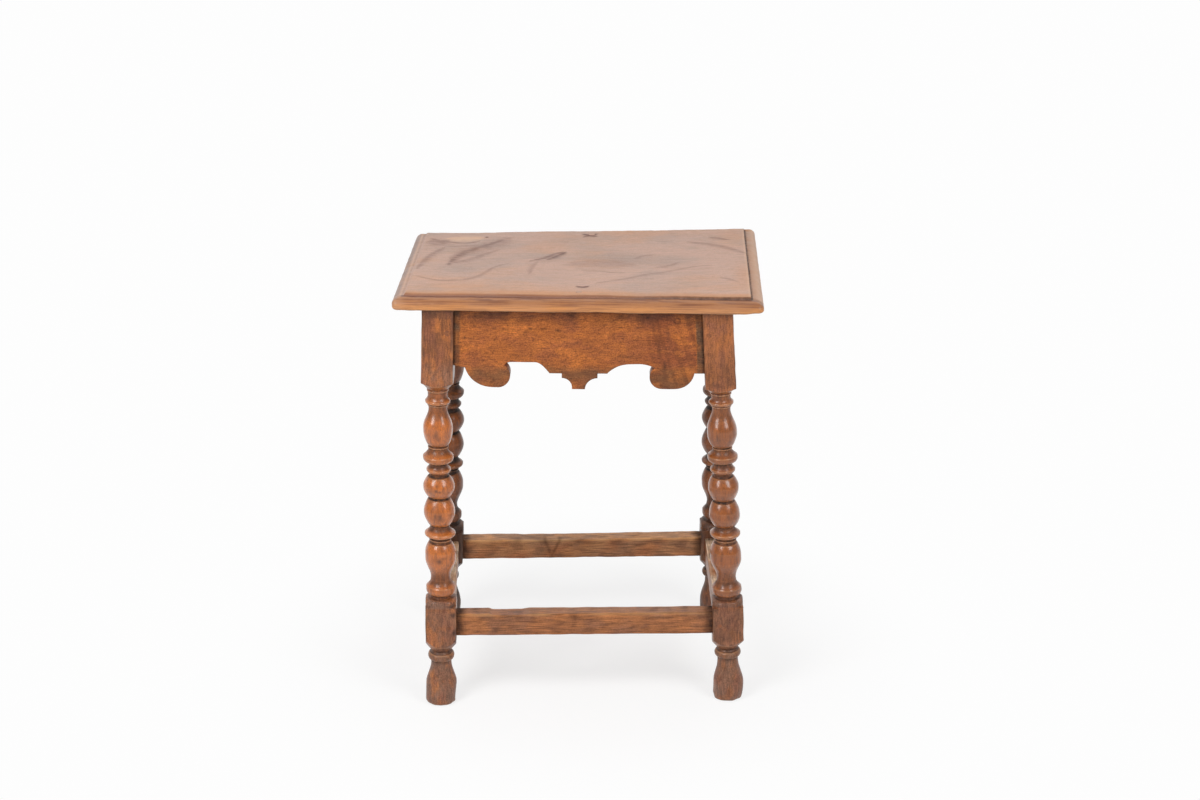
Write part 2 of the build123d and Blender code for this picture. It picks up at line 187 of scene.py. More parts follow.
def settle(points, on_frame):
    """How age has moved the stool, from the true place of each point: x moves by a share of y and
    y by a share of x, each share changing evenly from floor to seat; z moves by x times y. Points
    on the frame also creep along x: all to the right by 1.1 mm from the stretchers to the lower
    turnings, the front feet to the left by 1.5 mm, the rear legs to the right by 1.2 mm above their
    middles, and the tops of the legs a little towards each other."""
    sizes = bpy.context.scene.stool_sizes
    x, y, z = points.T
    t = z / SEAT_TOP
    rack = sizes.rack_floor + (sizes.rack_top - sizes.rack_floor) * t
    skew = sizes.skew_floor + (sizes.skew_top - sizes.skew_floor) * t
    wind = sizes.wind / MM / (SEAT_LENGTH * SEAT_DEPTH / 4 * 0.85)
    creep = 1.1 * (ease(z, 60, 130) - ease(z, 190, 340)) + (0.7 - 0.0127 * x) * ease(z, 400, 545)
    creep += 1.2 * ease(z, 230, 330) * ease(y, 0, 60) - 1.5 * fade(z, 0, 32) * fade(y, 0, 60)
    raised = np.maximum(z + wind * x * y * t, 0)
    return np.stack([x + rack * y + on_frame * creep, y - skew * x, raised], -1)


# ---------- meshes ----------
def wrapped_quads(rows, columns):
    """Quads of a grid of points, row by row, whose last column meets its first."""
    row = np.arange(rows - 1)[:, None] * columns
    here = np.arange(columns)
    there = (here + 1) % columns
    above = row + columns
    return np.stack([row + here, row + there, above + there, above + here], -1).reshape(-1, 4)


def closing_fan(first, columns, hub):
    """Triangles from one row of a grid to a point at its middle."""
    here = first + np.arange(columns)
    return np.stack([here, np.roll(here, -1), np.full(columns, hub)], -1)


def signed_volume(points, faces):
    """Volume inside the faces, negative if they point inwards: the sum over triangles, fanned from
    each face's first corner, of a sixth of the triple product of their corners."""
    total = 0.0
    for group in faces:
        a = points[group[:, 0]]
        for k in range(1, group.shape[1] - 1):
            b, c = points[group[:, k]], points[group[:, k + 1]]
            total += np.einsum("ij,ij->", a, np.cross(b, c)) / 6
    return total


def add_piece(name, nodes, material, points, faces, marks, on_frame=True):
    """Put a closed surface into a mesh. Points are true places in millimetres. Marks are named
    values at the points, which its material reads: the tone from -1 to 1, the others from 0."""
    points = settle(points, on_frame) * MM
    if signed_volume(points, faces) < 0:
        faces = [group[:, ::-1] for group in faces]
    mesh = bpy.data.meshes.new(name)
    mesh.vertices.add(len(points))
    mesh.vertices.foreach_set("co", points.astype(np.float32).ravel())
    totals = np.concatenate([np.full(len(group), group.shape[1]) for group in faces])
    corners = np.concatenate([group.ravel() for group in faces])
    mesh.loops.add(len(corners))
    mesh.loops.foreach_set("vertex_index", corners.astype(np.int32))
    mesh.polygons.add(len(totals))
    mesh.polygons.foreach_set("loop_start", (np.cumsum(totals) - totals).astype(np.int32))
    mesh.polygons.foreach_set("loop_total", totals.astype(np.int32))
    mesh.polygons.foreach_set("use_smooth", np.ones(len(totals), bool))
    mesh.update(calc_edges=True)
    if mesh.validate():
        raise RuntimeError(f"{name} has a face that Blender can't keep")
    for mark, values in marks.items():
        held = np.clip(values, -1 if mark == "tone" else 0, 1)
        layer = mesh.attributes.new(mark, "FLOAT", "POINT")
        layer.data.foreach_set("value", held.astype(np.float32))
    mesh.materials.append(material)
    piece = bpy.data.objects.new(name, mesh)
    bpy.context.scene.collection.objects.link(piece)
    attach(piece, "root")
    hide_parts(*nodes)


# ---------- materials ----------
COLOUR_A, COLOUR_B, COLOUR_OUT = 6, 7, 2      # sockets of a Mix node that mixes colours


def add_node(tree, kind, settings=None, inputs=None):
    """Add one node. Settings are its own attributes; an input is a number, a colour, a socket, or
    a node whose first output is meant."""
    node = tree.nodes.new(kind)
    for name, value in (settings or {}).items():
        setattr(node, name, value)
    for name, value in (inputs or {}).items():
        if isinstance(value, bpy.types.Node):
            value = value.outputs[0]
        if isinstance(value, bpy.types.NodeSocket):
            tree.links.new(value, node.inputs[name])
        else:
            node.inputs[name].default_value = value
    return node


def empty_material(name):
    """A material and its tree, with no nodes in it."""
    material = bpy.data.materials.new(name)
    material.use_nodes = True
    material.node_tree.nodes.clear()
    return material, material.node_tree


def shaded(colour, share):
    """A linear colour, darker or lighter by a share."""
    return tuple(channel * share for channel in colour)


SWAY_LENGTH = 110.0            # how far along and across the board the grain wanders to and fro
SPECK = 1.6                    # size of the specks, drawn coarse enough to show
BLOTCH = 7.0                   # size of the blotches in dirt and painted shade, and in wax
WORM_CELL = 9.0                # size of the cells, a few of which hold a worm hole


class Walnut(NamedTuple):
    """One finish of old walnut. Colours are linear. Lengths are in millimetres and lie across the
    grain; each pattern is drawn out along the grain by its own factor."""
    name: str
    along: int                 # 0, 1 or 2: the axis that the grain runs along
    colour: tuple
    second: tuple              # colour where the tone mark is 1
    third: tuple               # and where it is -1
    deep: tuple                # dark figure, knots and pores, and the painted shadow in the seat's quirk
    warm: tuple                # one kind of cloud in the colour
    cool: tuple                # and the other
    pale: tuple                # rubbed edges and pale figure, and painted highlights on arrises
    cloud: float = 26.0        # size of the clouds
    warmed: float = 0.6        # strength of the warm clouds
    cooled: float = 0.6
    figure: float = 9.0        # width of the figure's streaks
    streaked: float = 0.5
    fibre: float = 1.7         # width of the fibres, drawn coarse enough to show
    fibred: float = 0.28       # how much darker and lighter they are
    drawn: float = 0.11        # width of a fibre over its length
    sway: float = 0.012        # metres by which the grain wanders
    calm: float = 0.0          # how much weaker fibres and clouds are where the tone mark is 1
    speckled: float = 0.12     # how much darker and lighter the specks are, which have no direction
    flecked: float = 0.5       # strength of the open pores, also drawn coarse
    rough: float = 0.42
    shine: float = 0.4         # specular level of the wood itself
    polish: float = 1.0        # wax over it, where the gloss mark is 1
    polish_rough: float = 0.12
    grain_depth: float = 0.10  # height of the grain
    worms: float = 0.0         # share of the cells that hold a worm hole


def walnut(finish):
    """Old walnut under many coats of wax, worn by hand. Planed or turned, then stained by age: the
    eye sees dark streaks along the grain, fine open pores, clouds of orange and purple brown, dirt
    packed into every hollow, and a soft sheen with sharper lights where the wax is thick. Its dark
    layers also paint shade where parts meet and under the seat, and its pale layer paints
    highlights on arrises."""
    material, tree = empty_material(finish.name)
    per_metre = 1 / MM
    place = add_node(tree, "ShaderNodeTexCoord").outputs["Object"]
    wander = add_node(tree, "ShaderNodeTexNoise", None,
                      {"Vector": place, "Scale": per_metre / SWAY_LENGTH, "Detail": 2.0, "Roughness": 0.5})
    swayed = add_node(tree, "ShaderNodeVectorMath", {"operation": "MULTIPLY_ADD"},
                      {0: wander.outputs["Color"], 1: (finish.sway,) * 3, 2: place})
    patterns = {               # width over length along the grain, size, detail, roughness, distortion
        "cloud": (0.55, finish.cloud, 3.0, 0.55, 0.0),
        "figure": (0.08, finish.figure, 3.0, 0.6, 0.15),
        "fibre": (finish.drawn, finish.fibre, 2.0, 0.6, 0.0),
        "fleck": (1.4 * finish.drawn, finish.fibre * 0.9, 1.0, 0.55, 0.0),
        "speck": (None, SPECK, 1.0, 0.55, 0.0),
        "blotch": (None, BLOTCH, 3.0, 0.65, 0.0),
    }
    noise = {}
    for name, (drawn, size, detail, roughness, distortion) in patterns.items():
        vector = place
        if drawn:
            scale = [1.0, 1.0, 1.0]
            scale[finish.along] = drawn
            vector = add_node(tree, "ShaderNodeMapping", {"vector_type": "POINT"},
                              {"Vector": swayed, "Scale": scale})
        noise[name] = add_node(tree, "ShaderNodeTexNoise", None,
                               {"Vector": vector, "Scale": per_metre / size, "Detail": detail,
                                "Roughness": roughness, "Distortion": distortion})
    cloud = add_node(tree, "ShaderNodeSeparateColor", None, {"Color": noise["cloud"].outputs["Color"]})
    marks = {name: add_node(tree, "ShaderNodeAttribute", {"attribute_name": name}).outputs["Fac"]
             for name in ("tone", "mark", "worn", "grime_and_shade", "gloss")}

    tone, blotch = marks["tone"], noise["blotch"]
    ranges = {                 # a value, its low and high, what they become, and the way between
        "second": (tone, 0, 1, 0, 1, "LINEAR"),
        "third": (tone, -1, 0, 1, 0, "LINEAR"),
        "steady": (tone, 0, 1, 1, 1 - finish.calm, "LINEAR"),
        "warm": (cloud.outputs["Red"], 0.46, 0.66, 0, finish.warmed, "SMOOTHSTEP"),
        "cool": (cloud.outputs["Green"], 0.46, 0.66, 0, finish.cooled, "SMOOTHSTEP"),
        "streak": (noise["figure"], 0.44, 0.68, 0, finish.streaked, "SMOOTHSTEP"),
        "fibre": (noise["fibre"], 0.3, 0.7, -finish.fibred, finish.fibred, "LINEAR"),
        "speck": (noise["speck"], 0.3, 0.7, -finish.speckled, finish.speckled, "LINEAR"),
        "pore": (noise["fleck"], 0.62, 0.72, 0, finish.flecked, "SMOOTHSTEP"),
        "dirt": (blotch, 0.3, 0.7, 0.6, 1.25, "LINEAR"),
        "rough": (blotch, 0.3, 0.7, finish.rough - 0.06, finish.rough + 0.08, "LINEAR"),
        "wax": (blotch, 0.35, 0.65, finish.polish, finish.polish * 0.75, "SMOOTHSTEP"),
    }
    share = {name: add_node(tree, "ShaderNodeMapRange", {"interpolation_type": way},
                            {"Value": value, "From Min": low, "From Max": high,
                             "To Min": first, "To Max": last})
             for name, (value, low, high, first, last, way) in ranges.items()}
    for name in ("warm", "cool"):
        share[name] = add_node(tree, "ShaderNodeMath", {"operation": "MULTIPLY"},
                               {0: share[name], 1: share["steady"]})
    swing = add_node(tree, "ShaderNodeMath", {"operation": "ADD"}, {0: share["fibre"], 1: share["speck"]})
    shade = add_node(tree, "ShaderNodeMath", {"operation": "MULTIPLY_ADD"},
                     {0: swing, 1: share["steady"], 2: 1.0})
    darkening = add_node(tree, "ShaderNodeMath", {"operation": "MULTIPLY", "use_clamp": True},
                     {0: marks["grime_and_shade"], 1: share["dirt"]})

    grime_and_shade = tuple(bpy.context.scene.stool_colours.grime_and_shade)
    layers = [(share["second"], finish.second), (share["third"], finish.third),
              (share["warm"], finish.warm), (share["cool"], finish.cool),
              (share["streak"], finish.deep), (1.0, shade), (share["pore"], finish.deep),
              (marks["mark"], finish.deep), (marks["worn"], finish.pale), (darkening, grime_and_shade)]
    if finish.worms:
        cell = add_node(tree, "ShaderNodeTexVoronoi", {"feature": "F1"},
                        {"Vector": place, "Scale": per_metre / WORM_CELL, "Randomness": 1.0})
        near = add_node(tree, "ShaderNodeMapRange", {"interpolation_type": "SMOOTHSTEP"},
                        {"Value": cell.outputs["Distance"], "From Min": 0.08, "From Max": 0.14,
                         "To Min": 1, "To Max": 0})
        chosen = add_node(tree, "ShaderNodeMath", {"operation": "LESS_THAN"},
                          {0: cell.outputs["Color"], 1: finish.worms})
        worm = add_node(tree, "ShaderNodeMath", {"operation": "MULTIPLY"}, {0: near, 1: chosen})
        layers.append((worm, grime_and_shade))
    wood = (*finish.colour, 1)
    for amount, tint in layers:
        blend = "MULTIPLY" if tint is shade else "MIX"
        tint = (*tint, 1) if isinstance(tint, tuple) else tint
        mix = add_node(tree, "ShaderNodeMix", {"data_type": "RGBA", "blend_type": blend},
                       {"Factor": amount, COLOUR_A: wood, COLOUR_B: tint})
        wood = mix.outputs[COLOUR_OUT]

    rough = add_node(tree, "ShaderNodeMath", {"operation": "MULTIPLY_ADD", "use_clamp": True},
                     {0: darkening, 1: 0.25, 2: share["rough"]})
    waxed = add_node(tree, "ShaderNodeMath", {"operation": "MULTIPLY", "use_clamp": True},
                     {0: marks["gloss"], 1: share["wax"]})
    relief = add_node(tree, "ShaderNodeMath", {"operation": "MULTIPLY_ADD"},
                      {0: share["pore"], 1: -0.8, 2: noise["fibre"]})
    bump = add_node(tree, "ShaderNodeBump", None,
                    {"Height": relief, "Strength": 0.35, "Distance": finish.grain_depth * MM})
    shader = add_node(tree, "ShaderNodeBsdfPrincipled", None,
                      {"Base Color": wood, "Roughness": rough, "IOR": 1.5,
                       "Specular IOR Level": finish.shine,
                       "Coat Weight": waxed, "Coat Roughness": finish.polish_rough, "Coat IOR": 1.45,
                       "Normal": bump})
    add_node(tree, "ShaderNodeOutputMaterial", None, {"Surface": shader})
    return material


# ---------- spots of dirt and colour ----------
class Spot(NamedTuple):
    """A soft mark on a face: its middle, half its width and height, and its strength."""
    x: float
    y: float
    wide: float
    tall: float
    strength: float

    def at(self, x, y):
        """Its strength times the bell curve of the distance from its middle, as a share of its size."""
        return self.strength * dab(np.hypot((x - self.x) / self.wide, (y - self.y) / self.tall), 1.0)


# ---------- the turned legs ----------
# Marks up a leg: height, radius, and the shape of the stretch that leads up to the mark. A cone is
# straight, an ogee leaves and arrives along the axis, a swell fills out towards its upper end and a
# fall towards its lower end, a flare is the hollow above a ring, and bead_up and bead_down are the
# two quarters of a half-round.
CORNER = HALF_SQUARE * math.sqrt(2)
LEG_MARKS = (
    (0.0, 15.5, "cone"), (5.0, 19.6, "bead_up"), (20.0, 20.3, "swell"), (56.6, 13.2, "ogee"),
    (60.0, 13.4, "cone"), (60.8, 14.0, "cone"), (65.4, 17.1, "bead_up"), (70.2, 13.6, "bead_down"),
    (72.8, 12.0, "cone"), (92.8, CORNER, "cone"), (138.0, CORNER, "cone"), (138.1, 22.7, "cone"),
    (141.2, 22.5, "cone"), (146.8, 15.6, "bead_down"), (147.8, 13.6, "cone"), (150.6, 13.4, "cone"),
    (151.4, 15.0, "cone"), (158.0, 19.2, "bead_up"), (162.0, 18.9, "cone"), (163.0, 18.0, "cone"),
    (171.6, 12.6, "flare"), (174.5, 12.2, "ogee"), (202.0, 20.1, "ogee"), (208.0, 20.2, "cone"),
    (223.6, 13.4, "fall"), (224.8, 12.9, "cone"), (226.4, 12.9, "cone"), (226.6, 13.9, "cone"),
    (228.2, 13.9, "cone"), (228.4, 12.9, "cone"), (231.2, 12.9, "cone"), (235.6, 19.6, "bead_up"),
    (236.8, 19.5, "cone"), (237.8, 18.4, "cone"), (244.4, 12.6, "flare"), (247.0, 12.3, "cone"),
    (264.4, 20.1, "swell"), (282.6, 12.5, "fall"), (284.6, 12.3, "cone"), (299.8, 19.9, "swell"),
    (314.6, 12.2, "fall"), (316.6, 11.6, "cone"), (318.2, 12.3, "cone"), (319.2, 12.4, "cone"),
    (323.4, 15.8, "swell"), (324.8, 15.7, "cone"), (330.0, 12.1, "flare"), (333.2, 12.0, "cone"),
    (334.0, 13.2, "cone"), (340.0, 19.3, "bead_up"), (342.6, 19.2, "cone"), (343.8, 17.8, "cone"),
    (351.8, 12.2, "flare"), (352.8, 11.8, "cone"), (353.0, 12.8, "cone"), (354.4, 12.8, "cone"),
    (354.6, 11.8, "cone"), (356.0, 11.7, "cone"), (375.0, 19.0, "swell"), (378.0, 19.0, "cone"),
    (405.8, 11.4, "ogee"), (409.4, 11.5, "cone"), (409.6, 12.7, "cone"), (411.0, 12.8, "cone"),
    (411.2, 12.0, "cone"), (412.0, 12.2, "cone"), (414.8, 15.7, "bead_up"), (416.2, 15.6, "cone"),
    (416.8, 14.9, "cone"), (421.6, 12.2, "flare"), (427.4, 12.3, "cone"), (427.6, 13.6, "cone"),
    (429.4, 13.6, "cone"), (429.6, 13.1, "cone"), (430.4, 13.3, "cone"), (437.2, 20.0, "cone"),
    (441.8, CORNER, "cone"), (LEG_LENGTH, CORNER, "cone"),
)
LEG_ROWS = 1000                            # of points up a leg
LEG_COLUMNS = 88                           # and round it
SQUARE_HEIGHTS = (0, 250, LEG_LENGTH)      # where Hand.square is measured
SQUARENESS = 24                            # power that makes a square of a circle
BLEND = 0.4                                # how softly turning and square meet
SOLE_HOLLOW = 0.6                          # the middle of a sole stands clear of the floor


class Hand(NamedTuple):
    """How one leg came out of the lathe, and how worn it is."""
    square: tuple              # half of its square, at the floor, at mid height and at the seat
    slip: float                # how much its turnings missed the marks, as a share of GAUGE_SLIP
    foot: float                # size of its foot
    girth: float               # size of its turnings
    shade: float               # of its turned parts
    square_shade: float
    grime_and_shade: float               # all over it; on the rear legs partly painted shade
    gloss: float
    low_dirt: float            # more grime on the lower ends of its squares
    seat_shade_and_dirt: float = 0.12    # and under the seat, painted shade with dirt
    dull: float = 0.0          # how much greyer the foot of its upper square is


GAUGE_SLIP = ((0, 60, 90, 160, 205, 235, 265, 283, 300, 324, 341, 376, 415, 440, 542),
              (0, 0, 1.0, 2.0, 1.0, 0.6, 1.9, 2.0, 0.5, -0.3, -0.8, 1.4, -0.4, 2.0, 0))
HANDS = {
    "front_left": Hand((19.4, 20.0, 19.8), 1.0, 1.015, 1.0, 1.0, 0.84, 0.0, 1.0, 0.0, 0.34, 0.65),
    "front_right": Hand((20.0, 19.6, 19.1), -1.0, 0.975, 1.0, 0.58, 1.20, 0.0, 1.0, 0.32),
    # The rear legs' dark squares and their grime are partly painted shade, from under the seat.
    "rear_left": Hand((22.4, 20.0, 20.0), 0.0, 1.0, 0.975, 0.60, 0.24, 0.30, 0.5, 0.0),
    "rear_right": Hand((22.0, 20.0, 20.0), 0.0, 1.0, 0.975, 0.60, 0.48, 0.30, 0.5, 0.0),
}
LEG_BANDS = {                  # stretches of a leg: heights of their start, whole, last whole and end
    "ankle": (54, 58, 72, 84),
    "lower_square_end": (84, 92, 138, 146),
    "pad": (136.5, 140, 147, 151),
    "turning": (148, 156, 428, 436),
    "base_ring": (150, 156, 168, 174),
    "high_ring": (331, 336, 343, 348),
    "upper_square_foot": (436, 444, 455, 480),
    "upper_square_end": (436, 444, 455, 505),
}
KNOTS = {                      # on the outer faces of the front legs: across the face and up the leg
    "front_left": (
        Spot(-0.5, 204.0, 3.6, 3.6, 0.65), Spot(4.5, 208.0, 4.0, 1.7, 0.4), Spot(-4.5, 265.0, 1.7, 5.0, 0.6),
        Spot(-1.0, 264.0, 1.6, 6.0, 0.5), Spot(2.5, 264.5, 1.7, 5.0, 0.6), Spot(-1.5, 374.0, 2.4, 4.5, 0.45),
        Spot(2.0, 369.0, 1.8, 3.0, 0.35), Spot(-2.5, 300.0, 1.8, 1.9, 0.8), Spot(2.0, 298.5, 2.0, 1.8, 0.7),
        Spot(-1.0, 306.0, 1.6, 2.6, 0.4), Spot(17.0, 105.0, 2.6, 4.5, 0.8), Spot(19.0, 92.5, 2.0, 1.8, 1.0),
        Spot(16.5, 130.0, 4.0, 3.5, 0.7), Spot(13.0, 141.0, 6.0, 2.0, 0.6),
        Spot(-19.0, 118.0, 1.6, 10.0, 0.5), Spot(-17.0, 480.0, 1.8, 12.0, 0.5),
        Spot(18.5, 500.0, 1.6, 14.0, 0.55), Spot(-6.0, 520.0, 1.8, 4.0, 0.4)),
    "front_right": (
        Spot(-6.0, 372.0, 1.7, 6.0, 0.5), Spot(5.0, 264.0, 1.7, 5.0, 0.5), Spot(-16.0, 134.0, 3.0, 2.5, 0.6),
        Spot(4.0, 470.0, 1.6, 16.0, 0.3)),
}


def stretch_shape(kind, t):
    """Share of the height and share of the radius at t of a stretch. A swell is three parts ogee
    and seven parts quarter of an ellipse, a fall is a swell turned about, and a flare is a hollow
    whose radius goes as the power 1.8 of what is left of the height."""
    ogee = (1 - np.cos(math.pi * t)) / 2
    if kind == "cone":
        return t, t
    if kind == "ogee":
        return t, ogee
    if kind == "bead_up":
        return 1 - np.cos(math.pi / 2 * t), np.sin(math.pi / 2 * t)
    if kind == "bead_down":
        return np.sin(math.pi / 2 * t), 1 - np.cos(math.pi / 2 * t)
    if kind == "flare":
        return t, 1 - (1 - t) ** 1.8
    if kind == "swell":
        return t, 0.3 * ogee + 0.7 * np.sqrt(1 - (1 - t) ** 2)
    height, radius = stretch_shape("swell", 1 - t)
    return 1 - height, 1 - radius


def leg_profile(rows):
    """Heights and radii up a leg, evenly spaced along the profile's own line."""
    heights, radii = [np.array([LEG_MARKS[0][0]])], [np.array([LEG_MARKS[0][1]])]
    t = np.linspace(0, 1, 25)[1:]
    for (h0, r0, _), (h1, r1, kind) in zip(LEG_MARKS, LEG_MARKS[1:]):
        height, radius = stretch_shape(kind, t)
        heights.append(h0 + (h1 - h0) * height)
        radii.append(r0 + (r1 - r0) * radius)
    height, radius = np.concatenate(heights), np.concatenate(radii)
    run = np.concatenate([[0], np.cumsum(np.hypot(np.diff(height), np.diff(radius)))])
    even = np.linspace(0, run[-1], rows)
    return np.interp(even, run, height), np.interp(even, run, radius)


def leg_axes(leg):
    """Foot and the three unit axes of a leg: across its face, across its side, and up its lean."""
    sx, sy = LEGS[leg]
    up = np.array([-sx * SLOPE_X, -sy * SLOPE_Y, 1.0])
    across = np.cross([0, 1, sy * SLOPE_Y], up)
    up, across = up / np.linalg.norm(up), across / np.linalg.norm(across)
    return np.array([sx * FOOT_X, sy * FOOT_Y, 0.0]), np.stack([across, np.cross(up, across), up])


def profile_marks(height, radius):
    """Even heights up a leg, and what its profile gives at each: the radius, the dirt in its
    hollows, the sharpness of its edges, and how far it stands out. A profile blurred by a bell
    curve, less the profile itself, is the depth of a hollow as wide as the blur. Dirt also lies on
    what faces up beside a groove."""
    even = np.linspace(0, LEG_LENGTH, 2 * LEG_ROWS)
    step = even[1]
    thick = np.interp(even, height + np.arange(len(height)) * 1e-6, radius)
    narrow, wide = (blurred(thick, step, spread_over) - thick for spread_over in (1.2, 5.0))
    slope = -np.gradient(thick, step)
    upward = unit(slope / np.hypot(slope, 1))
    darkening = 0.50 * narrow + 0.16 * wide + 0.9 * upward * blurred(unit(narrow), step, 2.5)
    return even, (thick, darkening, thick - blurred(thick, step, 0.7), -wide)


def leg_marks(leg, local, profile, seed):
    """What use and age have left on a leg, with painted light: dirt in hollows and round the ankle,
    painted shade with dirt under the seat and in the thin necks, rubbed edges with painted highlights
    on their arrises, wax on the full parts of the turning, greyer feet, and its knots."""
    hand = HANDS[leg]
    x, y, z = local.T
    even, values = profile
    thick, darkening, sharp, full = (np.interp(z, even, value) for value in values)
    on = {name: band(z, *levels) for name, levels in LEG_BANDS.items()}
    turning = on["turning"]
    cloud, spots = clouds(local, 22, seed + 7), clouds(local, 8, seed + 9)
    by_square = dab(z - 149, 6) + dab(z - 71, 6)
    in_groove = np.clip(darkening, 0, 0.7 - 0.35 * by_square)
    corner = ease(np.abs(local[:, :2]).min(1), 16.5, 19.5) * (1 - turning) * ease(z, 80, 92)
    grime_and_shade = hand.grime_and_shade * (0.7 + 0.3 * cloud) + in_groove + 0.30 * corner * unit(cloud)
    # Painted shade, with dirt, in the last 7 mm under the seat; and the lowest 6 mm of the foot darker.
    grime_and_shade += 0.6 * ease(z, SEAT_UNDERSIDE - 7, SEAT_UNDERSIDE - 1) + 0.30 * fade(z, 0, 6)
    grime_and_shade += hand.seat_shade_and_dirt * ease(z, 455, 540) * unit(cloud + 0.3)
    grime_and_shade += hand.low_dirt * (on["upper_square_end"] + on["lower_square_end"])
    # Darker at the thin necks of the turning: dirt, and painted shade.
    grime_and_shade += turning * (0.24 - 0.16 * ease(z, 400, 412)) * fade(thick, 12.5, 18)
    grime_and_shade += (0.12 * on["pad"] + 0.22 * on["ankle"]) * unit(0.6 + 0.6 * spots)
    grime_and_shade += 0.15 * on["base_ring"] + 0.16 * on["high_ring"]
    mark = np.zeros(len(local))
    for knot in KNOTS.get(leg, ()):
        mark = np.maximum(mark, knot.at(x, z) * (LEGS[leg][1] * y > 0))
    tone = turning * (0.35 + 0.65 * ease(thick, 12.5, 17)) - 0.5 * fade(z, 130, 140) - 0.5 * fade(z, 70, 90)
    # Pale lines on the sharp arrises of the turning: wear, and painted highlights.
    edge = np.clip(1.5 * sharp, 0, 0.5) * ease(np.abs(z - 142), 9, 14)
    convex = 0.35 + 0.65 * ease(full, -0.8, 0.4)
    gloss = hand.gloss * (0.28 + 0.72 * turning * convex) * ease(z, 40, 100)
    return {"grime_and_shade": np.maximum(grime_and_shade, 0.7 * mark), "mark": mark,
            "worn": edge + 0.22 * corner * unit(1 - cloud),
            "tone": tone - on["pad"] - hand.dull * on["upper_square_foot"],
            "gloss": gloss * unit(1 - 1.6 * in_groove)}


def make_leg(leg, material):
    """A grid of angle by height: the radius is the lesser of the turned profile and the square,
    whose radius at an angle is its half size over the 24th-power mean of cosine and sine."""
    sx, sy = LEGS[leg]
    seed = sx + 2 * sy + 10
    hand = HANDS[leg]
    height, turned = leg_profile(LEG_ROWS)
    slipped = height + hand.slip * np.interp(height, *GAUGE_SLIP)
    turned = turned * (1 + (hand.foot - 1) * fade(height, 30, 60)
                       + (hand.girth - 1) * ease(height, 142, 150))
    turn = np.linspace(0, math.tau, LEG_COLUMNS, endpoint=False)
    angle = turn + 0.7 * np.sin(4 * turn) / 4
    flatness = ((np.abs(np.cos(angle)) ** SQUARENESS + np.abs(np.sin(angle)) ** SQUARENESS)
                ** (-1 / SQUARENESS))
    half = np.interp(height, SQUARE_HEIGHTS, hand.square)
    ring, around = turned[:, None], half[:, None] * flatness
    radius = np.minimum(ring, around) - BLEND * np.exp(-np.abs(ring - around) / BLEND) / 2
    tall, angles = np.meshgrid(slipped, angle, indexing="ij")
    local = np.stack([radius * np.cos(angles), radius * np.sin(angles), tall], -1).reshape(-1, 3)
    worn_off = 0.20 * ripple(local, 30, seed) + 0.04 * ripple(local, 9, seed + 40)
    worn_off += fade(local[:, 2], 0, 10) * (0.35 * ripple(local, 9, seed + 80) + 0.2)
    outward = local * (1, 1, 0)
    local -= outward / np.linalg.norm(outward, axis=1, keepdims=True) * worn_off[:, None]
    origin, axes = leg_axes(leg)
    points = origin + local @ axes
    sole = SOLE_HOLLOW * fade(local[:, 2], 0, 4) * (local[:, 2] > 0)
    points[:, 2] = np.clip(points[:, 2], sole, SEAT_UNDERSIDE)
    marks = leg_marks(leg, local, profile_marks(slipped, np.minimum(turned, half)), seed)

    bottom = len(points)
    hub = np.array([[0, 0, 0], [0, 0, LEG_LENGTH]]) @ axes + origin
    hub[:, 2] = SOLE_HOLLOW, SEAT_UNDERSIDE
    faces = [wrapped_quads(LEG_ROWS, LEG_COLUMNS),
             closing_fan(0, LEG_COLUMNS, bottom)[:, ::-1],
             closing_fan((LEG_ROWS - 1) * LEG_COLUMNS, LEG_COLUMNS, bottom + 1)]
    marks = {name: np.append(values, values[[0, -1]]) for name, values in marks.items()}
    add_piece(f"turned_leg_{leg}", [f"leg_{leg}"], material, np.concatenate([points, hub]),
              faces, marks)


# ---------- boards: aprons and stretchers ----------
def side_axes(side):
    """Middle of a side at the floor and its unit axes: along it to the right as seen from outside,
    up its lean, and outwards."""
    ox, oy = SIDES[side]
    half, slope = (FOOT_X, SLOPE_X) if ox else (FOOT_Y, SLOPE_Y)
    along = np.array([-oy, ox, 0.0])
    up = np.array([-ox * slope, -oy * slope, 1.0]) / math.hypot(1, slope)
    return np.array([ox * half, oy * half, 0.0]), np.stack([along, up, np.cross(along, up)])


def spread(points, spacing):
    """Even points along a run of straight stretches, without its first point."""
    run = np.concatenate([[0], np.cumsum(np.linalg.norm(np.diff(points, axis=0), axis=1))])
    count = max(int(round(run[-1] / spacing)), 1)
    even = np.linspace(0, run[-1], count + 1)[1:]
    return np.stack([np.interp(even, run, points[:, k]) for k in (0, 1)], -1)


def arc_leaving(start, direction, end):
    """Points on the circle that leaves start in a direction and reaches end. Its centre lies square
    to the direction, at the chord's square over twice the chord's part on that side."""
    start, end = np.array(start, float), np.array(end, float)
    direction = np.array(direction, float) / np.hypot(*direction)
    square_to = np.array([-direction[1], direction[0]])
    chord = end - start
    radius = chord @ chord / (2 * chord @ square_to)
    turn = 2 * math.atan2(chord @ square_to, chord @ direction)
    angle = np.linspace(0, turn, 33)[:, None]
    return start + radius * (np.sin(angle) * direction + (1 - np.cos(angle)) * square_to)


def hermite(start, leave, end, arrive):
    """Cubic curve between two points with the given slopes at its ends."""
    t = np.linspace(0, 1, 33)[:, None]
    start, leave, end, arrive = (np.array(v, float) for v in (start, leave, end, arrive))
    return ((2 * t ** 3 - 3 * t ** 2 + 1) * start + (t ** 3 - 2 * t ** 2 + t) * leave
            + (3 * t ** 2 - 2 * t ** 3) * end + (t ** 3 - t ** 2) * arrive)


